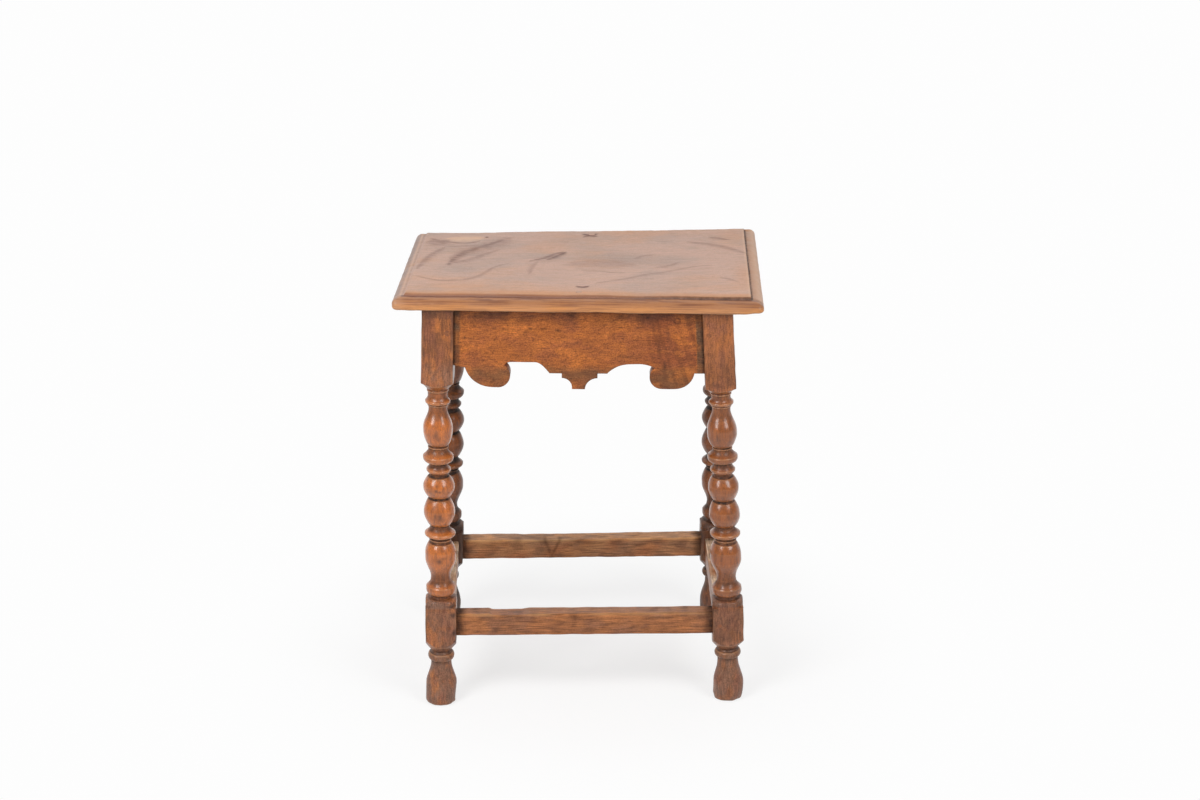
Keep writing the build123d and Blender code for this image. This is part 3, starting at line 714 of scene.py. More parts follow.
def inset(loop, distance):
    """A closed outline moved inwards: each point goes along the bisector of the normals of its two
    edges, by the distance over the cosine of half the angle between them."""
    edge = np.roll(loop, -1, axis=0) - loop
    normal = np.stack([-edge[:, 1], edge[:, 0]], -1) / np.linalg.norm(edge, axis=1, keepdims=True)
    before = np.roll(normal, 1, axis=0)
    both = normal + before
    share = 1 + np.sum(normal * before, axis=1, keepdims=True)
    return loop + both / np.maximum(share, 0.6) * np.reshape(distance, (-1, 1))


def inside(loop, points):
    """Which points lie inside a closed outline: those whose rightward ray crosses it an odd number
    of times."""
    a, b = loop[:, None], np.roll(loop, -1, axis=0)[:, None]
    x, y = points.T
    spans = (a[..., 1] > y) != (b[..., 1] > y)
    with np.errstate(divide="ignore", invalid="ignore"):
        crossing = a[..., 0] + (y - a[..., 1]) * (b[..., 0] - a[..., 0]) / (b[..., 1] - a[..., 1])
    return np.sum(spans & (x < crossing), axis=0) % 2 == 1


def filled(loop, spacing):
    """Triangles that fill a closed outline, by Delaunay's rule, with a grid of points inside it.
    Gives the inside points, and triangles that number the outline's points first."""
    columns, rows = (np.arange(low, high, spacing) for low, high in zip(loop.min(0), loop.max(0)))
    grid = np.stack(np.meshgrid(columns, rows), -1).reshape(-1, 2)
    grid = grid[inside(loop, grid)]
    nearest = np.sqrt(((grid[:, None] - loop[None]) ** 2).sum(-1)).min(1)
    grid = grid[nearest > 0.6 * spacing]
    count = len(loop)
    edges = np.stack([np.arange(count), np.roll(np.arange(count), -1)], -1)
    everything = np.concatenate([loop, grid])
    corners, _, triangles, origin, _, _ = delaunay_2d_cdt(
        [tuple(p) for p in everything.tolist()], edges.tolist(), [], 1, 1e-5)
    if len(corners) != len(everything):
        raise RuntimeError("a board's outline crosses itself")
    back = np.array([source[0] for source in origin])
    return grid, back[np.array(triangles)]


def make_board(name, nodes, material, side, loop, inner, outer, arris, marks_at, uneven=0.2, mesh=3.5):
    """A board sawn to an outline. A profile across its edge, a quarter round at each face, is
    carried round the outline, and Delaunay triangles fill the two faces. Each point of the profile
    is an inset as a share of the arris, a place across the board, and the arris's share in it."""
    quarter = np.linspace(0, math.pi / 2, 5)
    edge = [(1 - math.sin(angle), outer, math.cos(angle) - 1) for angle in quarter]
    edge += [(0.0, outer + (inner - outer) * share, 2 * share - 1) for share in np.linspace(0, 1, 6)[1:-1]]
    edge += [(1 - math.cos(angle), inner, 1 - math.sin(angle)) for angle in quarter]
    arris = np.broadcast_to(arris, len(loop)).astype(float)
    rows = [np.column_stack([inset(loop, arris * share), out + arris * more]) for share, out, more in edge]
    grid, triangles = filled(rows[0][:, :2], mesh)
    count, rings = len(loop), len(rows)
    local = np.concatenate(rows + [np.column_stack([grid, np.full(len(grid), outer)]),
                                   np.column_stack([grid, np.full(len(grid), inner)])])
    front, back = triangles.copy(), triangles.copy()
    first_grid = rings * count
    front[triangles >= count] += first_grid - count
    back[triangles >= count] += first_grid + len(grid) - count
    back[triangles < count] += (rings - 1) * count
    faces = [wrapped_quads(rings, count), front[:, ::-1], back]
    seed = sum(map(ord, name))
    local[:, 2] += uneven * ripple(local[:, :2], 60, seed) * 0.6 + uneven * ripple(local, 17, seed + 1) * 0.3
    local[:, 1] += uneven * 0.5 * ripple(local, 23, seed + 2)
    origin, axes = side_axes(side)
    points = origin + local @ axes
    points[:, 2] = np.minimum(points[:, 2], SEAT_UNDERSIDE)
    add_piece(name, nodes, material, points, faces, marks_at(local, seed))


class Scroll(NamedTuple):
    """The half of an apron's lower edge beside a leg, cut by eye, so the two halves differ."""
    end_flat: float            # from the leg to the start of the scroll
    end_depth: float           # depth of that flat below the seat, beside the leg
    end_drop: float            # how much lower the flat's other end is
    heel: float                # reach of the scroll's outer curve
    sole: float                # flat at the bottom of the scroll
    bottom_depth: float
    eye_radius: float          # radius of the scroll's inner curve
    arch_rise: float           # from the cusp up to the arch's level top
    arch_lead: float           # share of the arch that rises from the cusp to its level top
    arch_fall: float           # share of the arch that falls from its level top to the shelf
    shelf: float               # width of the shelf beside the pendant
    hollow: float              # width of the hollow beside the pendant
    foot: float                # from the centre line to the pendant's lower corner


LEFT_SCROLL = Scroll(end_flat=14.6, end_depth=75.5, end_drop=3.3, heel=33.7, sole=7.0, bottom_depth=104.2,
                     eye_radius=15.3, arch_rise=4.4, arch_lead=0.16, arch_fall=0.32, shelf=15.2,
                     hollow=12.3, foot=8.8)
RIGHT_SCROLL = Scroll(end_flat=12.1, end_depth=84.5, end_drop=0.0, heel=24.5, sole=16.8, bottom_depth=105.0,
                      eye_radius=14.6, arch_rise=5.1, arch_lead=0.34, arch_fall=0.49, shelf=12.2,
                      hollow=15.8, foot=7.5)
PENDANT_DEPTH = 106.2
SHELF_DEPTH = 85.5
PENDANT_STEP = 6.0
CUSP_ANGLE = math.radians(60)
ARCH_END_ANGLE = math.radians(50)
APRON_INNER, APRON_OUTER = -4.5, 15.5     # from the plane of the leg centres
LET_IN = 1.5                              # how far a rail's shown end goes past the leg's face
EDGE_SPACING = 1.6                        # between the points of an apron's outline


def rail_half(side, height):
    """From the middle of a side to the legs' inner faces, at a height."""
    foot, slope = (FOOT_Y, SLOPE_Y) if SIDES[side][0] else (FOOT_X, SLOPE_X)
    return foot - slope * height - HALF_SQUARE


def scroll_edge(scroll, side):
    """Half of an apron's lower edge, from the middle to the leg, with x running outwards: a
    pendant, a shelf, an arch that falls to it, a cusp, and a scroll."""
    top = SEAT_UNDERSIDE
    heel = rail_half(side, top - scroll.end_depth) - scroll.end_flat
    eye = heel - scroll.heel - scroll.sole
    bottom = top - scroll.bottom_depth
    eye_height = bottom + scroll.eye_radius
    cusp = np.array([eye - scroll.eye_radius * math.cos(CUSP_ANGLE),
                     eye_height + scroll.eye_radius * math.sin(CUSP_ANGLE)])
    arch_top = cusp[1] + scroll.arch_rise
    if side in PENDANT_SIDES:
        hollow = scroll.foot + scroll.hollow
        shelf_end, shelf = hollow + scroll.shelf, top - SHELF_DEPTH
        arch = cusp[0] - shelf_end
        level = shelf_end + scroll.arch_fall * arch
        corner, step = (scroll.foot, top - PENDANT_DEPTH), (hollow, shelf - PENDANT_STEP)
        fall = np.array([level - shelf_end, arch_top - shelf])
        reach = np.hypot(*fall)
        leave = reach * np.array([math.cos(ARCH_END_ANGLE), math.sin(ARCH_END_ANGLE)])
        stretches = [np.array([(0, top - PENDANT_DEPTH), corner]),
                     arc_leaving(step, (-1, 0), corner)[::-1],
                     np.array([step, (hollow, shelf)]),
                     np.array([(hollow, shelf), (shelf_end, shelf)]),
                     hermite((shelf_end, shelf), leave, (level, arch_top), (reach, 0))]
    else:
        arch, level = cusp[0], 0.0
        stretches = []
    rise = cusp[0] - scroll.arch_lead * arch
    turn = np.linspace(math.pi - CUSP_ANGLE, 1.5 * math.pi, 33)[:, None]
    heel_height = top - scroll.end_depth - scroll.end_drop
    leg = rail_half(side, heel_height) + LET_IN
    stretches += [np.array([(level, arch_top), (rise, arch_top)]),
                  arc_leaving((rise, arch_top), (1, 0), cusp),
                  (eye, eye_height) + scroll.eye_radius * np.column_stack([np.cos(turn), np.sin(turn)]),
                  np.array([(eye, bottom), (heel - scroll.heel, bottom)]),
                  arc_leaving((heel - scroll.heel, bottom), (1, 0), (heel, heel_height)),
                  np.array([(heel, heel_height), (leg, top - scroll.end_depth)])]
    return stretches


def apron_outline(side):
    """The whole outline, anticlockwise as seen from outside, evenly spaced."""
    left, right = LEFT_SCROLL, RIGHT_SCROLL if side in PENDANT_SIDES else LEFT_SCROLL
    top_half = rail_half(side, SEAT_UNDERSIDE) + LET_IN
    right_edge = scroll_edge(right, side)
    left_edge = [stretch[::-1] * (-1, 1) for stretch in scroll_edge(left, side)[::-1]]
    right_end, left_end = right_edge[-1][-1], left_edge[0][0]
    around = left_edge + right_edge
    around += [np.array([right_end, (top_half, SEAT_UNDERSIDE)]),
               np.array([(top_half, SEAT_UNDERSIDE), (-top_half, SEAT_UNDERSIDE)]),
               np.array([(-top_half, SEAT_UNDERSIDE), left_end])]
    return np.concatenate([spread(stretch, EDGE_SPACING) for stretch in around])


APRON_SPOTS = (                # along the front apron and up it: flecks, pores and old stains
    Spot(-128, 517, 2.3, 1.3, 0.7), Spot(-128, 525, 1.6, 1.3, 0.7), Spot(-105, 515, 3.1, 1.3, 0.6),
    Spot(-141, 502, 1.8, 2.0, 0.7), Spot(-133, 501, 3.4, 1.3, 0.8), Spot(-25, 512.7, 4.0, 1.4, 0.9),
    Spot(-14, 520, 2.6, 1.3, 0.6), Spot(-43, 515, 5.4, 1.3, 0.6), Spot(-59, 515, 2.9, 1.3, 0.7),
    Spot(-93, 514, 3.3, 1.3, 0.7), Spot(53, 518, 3.1, 1.3, 0.6), Spot(-72, 524, 6.0, 1.3, 0.4),
    Spot(8, 498, 7.0, 1.3, 0.35), Spot(25, 525, 5.0, 1.3, 0.4), Spot(-110, 490, 6.0, 1.3, 0.35),
    Spot(107.5, 467, 1.8, 6.5, 0.8), Spot(105, 461, 3.6, 1.8, 0.6), Spot(60, 479.2, 15.0, 1.8, 0.45),
    Spot(81, 534, 2.0, 1.7, 1.0), Spot(94, 522, 1.8, 9.0, 0.30), Spot(101, 495, 2.6, 16.0, 0.30),
    Spot(112, 505, 2.2, 14.0, 0.30), Spot(88, 505, 2.2, 12.0, 0.20), Spot(-120, 455, 12.0, 3.0, 0.25),
    Spot(100, 452, 9.0, 3.0, 0.3), Spot(-4, 447, 9.0, 4.0, 0.35),
)
APRON_RING = (123.3, 527.0, 3.6)           # a cup hook's stain: place along and up, and radius


def apron_marks(side):
    """Grime and painted shade along the seat and against the legs, a redder third at the right, where
    the figure stands across the board, and old flecks and stains on the front."""
    def marks_at(local, seed):
        u, h, _ = local.T
        end = rail_half(side, h) - np.abs(u)
        below_seat = SEAT_UNDERSIDE - h
        cloud, small = clouds(local, 30, seed + 5), clouds(local, 9, seed + 6)
        # The ends beside the legs, where the apron is set back: painted shade and grime.
        end_shade_and_grime = np.where(u < 0, 0.9 * fade(end, 6.0, 9.5), 0.95 * fade(end, 7.8, 9.0))
        lower = ease(below_seat, 70, 84)
        right = ease(u, 55, 105) if side == "front" else 0.5 * cloud
        grime_and_shade = np.maximum.reduce([
            # Painted shade with grime at the ends, and a painted shadow right against the leg.
            np.where(u < 0, 0.50, 0.20) * end_shade_and_grime * unit(0.6 + 0.6 * small) + 0.5 * fade(end, 0.5, 3.5),
            # Under the seat: painted shade and grime.
            0.66 * fade(below_seat, 2, 9),
            0.60 * fade(below_seat, 6, 28) * unit(cloud + 0.3),
            (0.16 + 0.08 * ease(u, 0, 60)) * lower * np.clip(0.5 + cloud, 0, 1.3)])
        if side == "front":
            along, height, radius = APRON_RING
            ring = 0.65 * dab(np.hypot(u - along, h - height) - radius, 1.2)
            grime_and_shade = np.maximum.reduce([grime_and_shade, ring] + [spot.at(u, h) for spot in APRON_SPOTS])
        across = clouds(np.column_stack([u + 0.25 * h, 0.06 * h]), 9, seed + 8)
        mark = 0.36 * right * ease(across, 0.35, 1.3) + 0.12 * (1 - right) * ease(small, 0.6, 1.2)
        mark += 0.22 * ease(below_seat, 76, 96) * unit(0.3 + 0.9 * cloud)
        tone = unit(0.9 * right + 0.2 * cloud) * (1 - end_shade_and_grime) * (1 - 0.6 * lower) - end_shade_and_grime
        tone -= (0.6 + 0.3 * ease(u, 0, 60)) * lower * (1 - end_shade_and_grime) * unit(0.4 + cloud)
        return {"grime_and_shade": grime_and_shade, "mark": mark, "worn": 0.10 * lower * unit(small), "tone": tone,
                "gloss": 0.55 * (1 - end_shade_and_grime) * unit(0.6 + 0.4 * cloud)}
    return marks_at


STRETCHER_TOP = {"front": 126.6, "rear": 122.1, "left": 126.0, "right": 126.0}
STRETCHER_HEIGHT = {"front": 30.0, "rear": 28.5, "left": 30.0, "right": 30.0}
STRETCHER_THICKNESS = 22.0
STRETCHER_SPACING = 2.0        # between the points of its outline
STRETCHER_OUTER = {"front": 11.0, "rear": 11.0, "left": 6.0, "right": 6.0}


class Dip(NamedTuple):
    """A hollow worn into a stretcher's upper edge: its middle, half width, depth and the run of its
    left and right ends."""
    at: float
    half: float
    depth: float
    left: float
    right: float


DIPS = {"front": Dip(-96, 27, 1.8, 4, 14), "rear": Dip(25, 70, 0.6, 25, 25),
        "left": Dip(0, 40, 0.8, 20, 20), "right": Dip(5, 35, 1.2, 20, 15)}


def stretcher_outline(side):
    """A bar whose upper edge is worn down by feet: a long shallow sag and a shorter dip."""
    top = STRETCHER_TOP[side]
    bottom = top - STRETCHER_HEIGHT[side]
    half = rail_half(side, (top + bottom) / 2) + LET_IN
    u = np.linspace(half, -half, int(2 * half / STRETCHER_SPACING))
    dip = DIPS[side]
    start, end = dip.at - dip.half, dip.at + dip.half
    low = band(u, start, start + dip.left, end - dip.right, end)
    worn = 0.5 * np.cos(math.pi * u / (2 * half)) + dip.depth * low
    upper = np.column_stack([u, top - worn])
    around = [np.array([(-half, bottom), (half, bottom)]), np.array([(half, bottom), upper[0]]), upper,
              np.array([upper[-1], (-half, bottom)])]
    return np.concatenate([spread(stretch, STRETCHER_SPACING) for stretch in around])


FRONT_BAR_SPOTS = (Spot(-13.7, 122.2, 4.5, 2.4, 0.70), Spot(-13.7, 121.2, 14, 1.5, 0.35),
                   Spot(-80, 116, 40, 1.5, 0.25))
VEE = (41.0, 97.0, 0.42)       # place along the rear bar and up it, and slope of its two strokes


def stretcher_marks(side):
    """Grime and painted shade against the legs, darker along the bottom, a rubbed, glossy upper edge
    with painted highlights on its arrises, a knot in the front bar, and a dark vee on the inner face of the
    rear one."""
    def marks_at(local, seed):
        u, h, d = local.T
        top, outer = STRETCHER_TOP[side], STRETCHER_OUTER[side]
        bottom, inner = top - STRETCHER_HEIGHT[side], outer - STRETCHER_THICKNESS
        end = rail_half(side, h) - np.abs(u)
        cloud, small = clouds(local, 40, seed + 5), clouds(local * (0.4, 1, 1), 8, seed + 6)
        # Dark ends against the legs: painted shade and grime.
        grime_and_shade = 0.75 * fade(end, 1, 15) + 0.2 * fade(h, bottom, bottom + 8) * cloud
        grime_and_shade += 0.35 * unit(cloud - 0.4) * small * ease(outer - d, 3, 8) * ease(h, top - 6, top - 1)
        # Pale lines along the top arrises: wear, and painted highlights.
        from_edge = np.hypot(np.minimum(h - (top - 1.6), 0), np.minimum(d - (outer - 1.6), 0))
        outer_edge = dab(np.hypot(h - top + 1.3, d - outer + 1.0), 1.9) * (from_edge < 9)
        inner_edge = dab(np.hypot(h - top + 1.3, d - inner - 1.0), 1.9)
        edge = 0.35 * outer_edge + (0.6 if side == "rear" else 0.3) * inner_edge
        worn = edge * unit(0.35 + 0.65 * cloud) * (1 - unit(grime_and_shade))
        if side == "front":
            grime_and_shade = np.maximum.reduce([grime_and_shade] + [spot.at(u, h) for spot in FRONT_BAR_SPOTS])
        if side == "rear":
            along, height, slope = VEE
            strokes = [np.abs(u - along - way * slope * (h - height)) for way in (1, -1)]
            grime_and_shade = np.maximum(grime_and_shade, 0.5 * dab(np.minimum(*strokes), 2.6) * (d < outer - 10))
        on_top = ease(h, top - 2.5, top - 0.8)
        tone = 0.5 * (1 - on_top) * unit(cloud) - (0.6 if side == "front" else 1.0) * on_top
        gloss = 0.35 + (0.65 if SIDES[side][0] else 0.1) * on_top - grime_and_shade
        return {"grime_and_shade": grime_and_shade, "mark": 0.35 * ease(small, 0.75, 1.3), "worn": worn, "tone": tone,
                "gloss": gloss}
    return marks_at


# ---------- the seat ----------
FIELD_INSET = 15.0             # from the board's edge to its raised field
FIELD_RISE = 3.0               # of the field above the moulding
NOSING_RISE = 8.0              # height of the moulding's quarter of an ellipse
NOSING_ROUND = 3.0             # radius of the small round below it
SEAT_CORNER = 7.0              # radius of the board's corners
RING_SPACING = 2.0             # between the points of its mesh
SEAT_SHIFT = np.array([1.5, 1.0, 0.0])     # the board has crept on the frame
SEAT_TAPER = 0.0090                        # and was sawn narrower at the rear

# The step at the edge of the raised field: how far inside FIELD_INSET and how far down, as it was
# cut and after long wear.
CUT_STEP = ((1.6, 0), (0.9, 0.05), (0.45, 0.25), (0.2, 0.6), (0.1, 1.3), (0.0, 2.2), (-0.2, 3.3),
            (-0.7, 3.7), (-1.3, 3.5))
WORN_STEP = ((1.9, 0.12), (1.3, 0.35), (0.7, 0.75), (0.2, 1.25), (-0.2, 1.8), (-0.6, 2.35), (-1.0, 2.85),
             (-1.5, 3.2), (-2.1, 3.35))
UNDERSIDE_RINGS = (8.0, 20.0, 40.0, 70.0, 100.0, SEAT_DEPTH / 2)

SEAT_PATCHES = (               # clouds on the seat: above 0 more orange, below 0 greyer
    Spot(34, 17, 42, 22, -0.55), Spot(88, 1, 40, 18, -0.3), Spot(-151, -22, 30, 26, -0.35),
    Spot(74, 118, 70, 16, 0.3), Spot(198, 90, 22, 34, 0.3), Spot(-132, -100, 70, 12, 0.4),
    Spot(-21, -112, 110, 7, 0.3), Spot(151, -95, 60, 12, 0.15), Spot(-171, 60, 25, 25, -0.3),
    Spot(-105, 75, 22, 22, -0.25), Spot(208, -49, 14, 40, 0.3), Spot(-60, 60, 50, 25, 0.12),
    Spot(-75, -60, 60, 20, -0.15),
)
# A painted highlight on the front left corner of the seat.
CORNER_HIGHLIGHT = Spot(4 - SEAT_LENGTH / 2, 4 - SEAT_DEPTH / 2, 9, 9, 0.20)


class Stroke(NamedTuple):
    """A dark (positive) or pale (negative) line of figure on the seat, through a few points."""
    points: tuple
    width: float
    strength: float


SEAT_FIGURE = (
    Stroke(((-170, -9), (-165, 16), (-154, 41), (-136, 61), (-121, 78), (-108, 92)), 6.0, 0.65),
    Stroke(((-168, 20), (-150, 48), (-132, 66), (-114, 84), (-104, 98)), 15.0, 0.34),
    Stroke(((-173, -7), (-158, 3), (-142, 16), (-127, 34), (-110, 50)), 5.0, 0.35),
    Stroke(((-208, -27), (-202, 11), (-193, 39), (-183, 60)), 4.5, 0.45),
    Stroke(((-204, -58), (-183, -70), (-164, -73), (-145, -70), (-132, -61), (-122, -46), (-111, -22),
            (-93, -5)), 3.0, 0.32),
    Stroke(((-182, 86), (-164, 81), (-149, 82), (-138, 90)), 2.4, 0.6),
    Stroke(((-183, 65), (-163, 67), (-138, 71)), 2.5, 0.3),
    Stroke(((-199, 96), (-191, 84), (-183, 92)), 10.0, 0.5),
    Stroke(((-180, 100), (-158, 101), (-136, 103)), 9.0, -0.85),
    Stroke(((-131, 105), (-129, 104)), 3.4, 1.0),
    Stroke(((-66, 4), (-49, 17), (-37, 32), (-26, 42)), 4.0, 0.65),
    Stroke(((-45, 9), (-36, 20), (-30, 30), (-23, 41)), 4.0, 0.80), Stroke(((-42, 12), (-32, 24)), 2.6, 0.6),
    Stroke(((-62, 6), (-44, 20), (-28, 34)), 12.0, 0.22),
    Stroke(((-2, 114), (7, 108), (16, 104)), 3.2, 1.0), Stroke(((-1, 102), (7, 108), (16, 114)), 3.0, 0.9),
    Stroke(((-56, 2), (-61, -19), (-64, -46)), 3.4, 0.28),
    Stroke(((-15, -8), (20, -3), (64, -9)), 16.0, 0.22),
    Stroke(((20, -81), (43, -71), (65, -59), (84, -46), (103, -39), (122, -29), (145, -17), (166, -12)),
           2.7, 0.32),
    Stroke(((1, -34), (21, -34), (38, -40), (56, -40)), 2.0, 0.35),
    Stroke(((137, 77), (162, 70), (183, 59), (198, 46), (212, 32)), 4.5, 0.4),
    Stroke(((166, 93), (177, 91), (192, 84)), 3.0, 0.45),
    Stroke(((95, -19), (110, -14), (124, 0)), 3.0, 0.3),
    Stroke(((67, 13), (77, 23), (92, 28)), 2.5, 0.25),
    Stroke(((-3, -92), (5, -95), (12, -92)), 2.4, 1.0),
    Stroke(((177, -56), (188, -61), (199, -72)), 2.5, 0.25),
)


def along_curve(points, count=10):
    """Catmull-Rom curve through points: each stretch is a cubic whose end slopes are half the
    difference of the points on either side."""
    p = np.array([points[0], *points, points[-1]], float)
    t = np.linspace(0, 1, count, endpoint=False)[:, None]
    parts = [b + 0.5 * ((c - a) * t + (2 * a - 5 * b + 4 * c - d) * t ** 2
                        + (3 * b - a - 3 * c + d) * t ** 3)
             for a, b, c, d in zip(p, p[1:], p[2:], p[3:])]
    return np.concatenate([*parts, p[-1:]])


def stroke_weight(stroke, flat):
    """Bell curve of each point's distance from the stroke's line, tapered to its two ends, softer
    on the right of its run than on the left, and broken up by a fine ripple."""
    line = along_curve(stroke.points)
    a, b = line[:-1], line[1:]
    run = b - a
    share = np.clip(((flat[:, None] - a) * run).sum(-1) / np.maximum((run ** 2).sum(-1), 1e-9), 0, 1)
    distance = np.linalg.norm(flat[:, None] - (a + share[..., None] * run), axis=-1)
    nearest = distance.argmin(1)
    rows = np.arange(len(flat))
    position = (nearest + share[rows, nearest]) / len(run)
    taper = np.sqrt(np.clip(4 * position * (1 - position), 0.12, 1))
    way, off = run[nearest], flat - a[nearest]
    softer = 0.75 + 0.75 * ease((way[:, 1] * off[:, 0] - way[:, 0] * off[:, 1]) / np.hypot(*way.T), -1, 1)
    broken = 1 + 0.16 * ripple(flat * (0.3, 1), 4, 21) + 0.12 * ripple(flat, 14, 22)
    return unit(dab(distance[rows, nearest], stroke.width * taper * softer) * broken)


def seat_ring(distance, corner):
    """Rounded rectangle at a distance inside the seat's edge, as directions of a fixed number of
    points: each side and each corner keeps its own share of them at every distance."""
    half = np.array([SEAT_LENGTH, SEAT_DEPTH]) / 2 - distance
    corner = min(corner, *half)
    counts = (int(SEAT_DEPTH / RING_SPACING), int(SEAT_LENGTH / RING_SPACING)) * 2
    corners = np.array([(1, -1), (1, 1), (-1, 1), (-1, -1)]) * (half - corner)
    loop = []
    for k, count in enumerate(counts):
        facing = k * math.pi / 2
        centre, next_centre = corners[k], corners[(k + 1) % 4]
        turns = np.linspace(-math.pi / 4, 0, 5)[:-1], np.linspace(0, math.pi / 4, 5)[1:-1]
        before, after = (corner * np.column_stack([np.cos(facing + turn), np.sin(facing + turn)])
                         for turn in turns)
        start = centre + corner * np.array([math.cos(facing), math.sin(facing)])
        straight = start + (next_centre - centre) * np.linspace(0, 1, count)[:, None]
        loop += [centre + before, straight, next_centre + after]
    return np.concatenate(loop)


def seat_profile(step):
    """Distances inside the edge and heights, from the middle of the top, down the step at the edge
    of the field, over the moulding, which is a quarter of an ellipse, and back to the middle of the
    underside."""
    half = SEAT_DEPTH / 2
    nosing = SEAT_TOP - FIELD_RISE - NOSING_RISE
    field = np.linspace(half, FIELD_INSET + 2.5, int((half - FIELD_INSET) / RING_SPACING))
    profile = [(d, SEAT_TOP) for d in field]
    profile += [(FIELD_INSET + d, SEAT_TOP - z) for d, z in step]
    profile += [(FIELD_INSET * (1 - math.sin(angle)), nosing + NOSING_RISE * math.cos(angle))
                for angle in np.linspace(0.02, math.pi / 2, 18)[2:]]
    profile += [(0.0, z) for z in np.linspace(nosing - 1, SEAT_UNDERSIDE + NOSING_ROUND, 4)]
    profile += [(NOSING_ROUND * (1 - math.cos(angle)), SEAT_UNDERSIDE + NOSING_ROUND * (1 - math.sin(angle)))
                for angle in np.linspace(0.3, math.pi / 2, 5)]
    return np.array(profile + [(d, SEAT_UNDERSIDE) for d in UNDERSIDE_RINGS])


def seat_marks(points, distance, top):
    """Figure and clouds on the field, an orange moulding that is rubbed and greyer at the left, partly as
    a painted reflection, a painted shadow with dirt in the quirk beside the field, most at the right and
    the front, and painted highlights on its arrises and its front left corner."""
    x, y, z = points.T
    past = distance - FIELD_INSET
    on_field = (past > 0) & top
    mark, worn = np.zeros(len(points)), np.zeros(len(points))
    for stroke in SEAT_FIGURE:
        weight = stroke_weight(stroke, points[on_field, :2]) * abs(stroke.strength)
        target = mark if stroke.strength > 0 else worn
        target[on_field] = np.maximum(target[on_field], weight)

    ends = ((-y, SEAT_DEPTH / 2), (y, SEAT_DEPTH / 2), (-x, SEAT_LENGTH / 2), (x, SEAT_LENGTH / 2))
    front, rear, left, right = (ease(way, half - 20, half - 14) for way, half in ends)
    left, right = left * (1 - front), right * (1 - front)
    beyond = fade(past, -3, 1) * top
    low = fade(z, SEAT_TOP - 13, SEAT_TOP - 7)
    tone = sum(patch.at(x, y) for patch in SEAT_PATCHES)
    tone += 0.60 * ease(-y, SEAT_DEPTH / 2 - 33, SEAT_DEPTH / 2 - 19) * (past > 0)
    tone *= 1 - beyond * (1 - left)
    tone += beyond * (0.45 * right + 0.5 * rear + front * (0.85 + 0.05 * low))
    # Greyer at the left edge: rubbed, and a painted reflection.
    tone -= 0.75 * left * fade(distance, 4, 9)
    quirk = dab(past + 0.4, 1.1) * top
    lines = ripple(np.column_stack([0.04 * x, y, 1.5 * z]), 3.2, 15)
    dull = (0.44 - 0.40 * low) * front + 0.23 * (1 - front)
    mark = np.maximum.reduce([
        mark,
        # A dark band along the front quirk and the field's edge: painted shadow.
        (0.95 - 0.30 * ease(x, -60, 180)) * dab(past + 2.0, 3.6) * front * top,
        0.4 * fade(x, -180, 30) * dab(past - 3, 6) * front * top,
        beyond * (0.32 * unit(lines) * front + dull * (1 - quirk))])
    worn = np.maximum.reduce([
        worn,
        # Painted highlights: a line at the left, the arris and a wider band at the right, and the front left
        # corner.
        0.45 * dab(distance - 9.5, 1.3) * left * top,
        0.95 * dab(past - 2.0, 1.0) * right * top,
        0.55 * dab(distance - 4, 5.0) * right * top,
        CORNER_HIGHLIGHT.at(x, y) * top])
    # A dark line in the quirk: painted shadow of the step, and dirt.
    grime_and_shade = quirk * (0.9 * right + 0.75 * front * ease(x, -20, 190) + 0.35 * rear)
    grime_and_shade += 0.5 * fade(z, SEAT_UNDERSIDE, SEAT_UNDERSIDE + 2) * top
    return {"grime_and_shade": grime_and_shade, "mark": mark, "worn": worn, "tone": tone,
            "gloss": 0.20 + 0.70 * beyond * (0.4 + 0.6 * front)}


def merged(points, quads, marks):
    """Points in one place made one. A quad that loses a side becomes a triangle, and one that loses
    more is left out."""
    _, first, number = np.unique(np.round(points, 4), axis=0, return_index=True, return_inverse=True)
    quads = number.reshape(-1)[quads]
    same = np.stack([quads[:, k] == quads[:, (k + 1) % 4] for k in range(4)], -1)
    slim = same.sum(1) == 1
    order = (same[slim].argmax(1)[:, None] + 1 + np.arange(3)) % 4
    triangles = np.take_along_axis(quads[slim], order, 1)
    marks = {name: values[first] for name, values in marks.items()}
    return points[first], [quads[~same.any(1)], triangles], marks


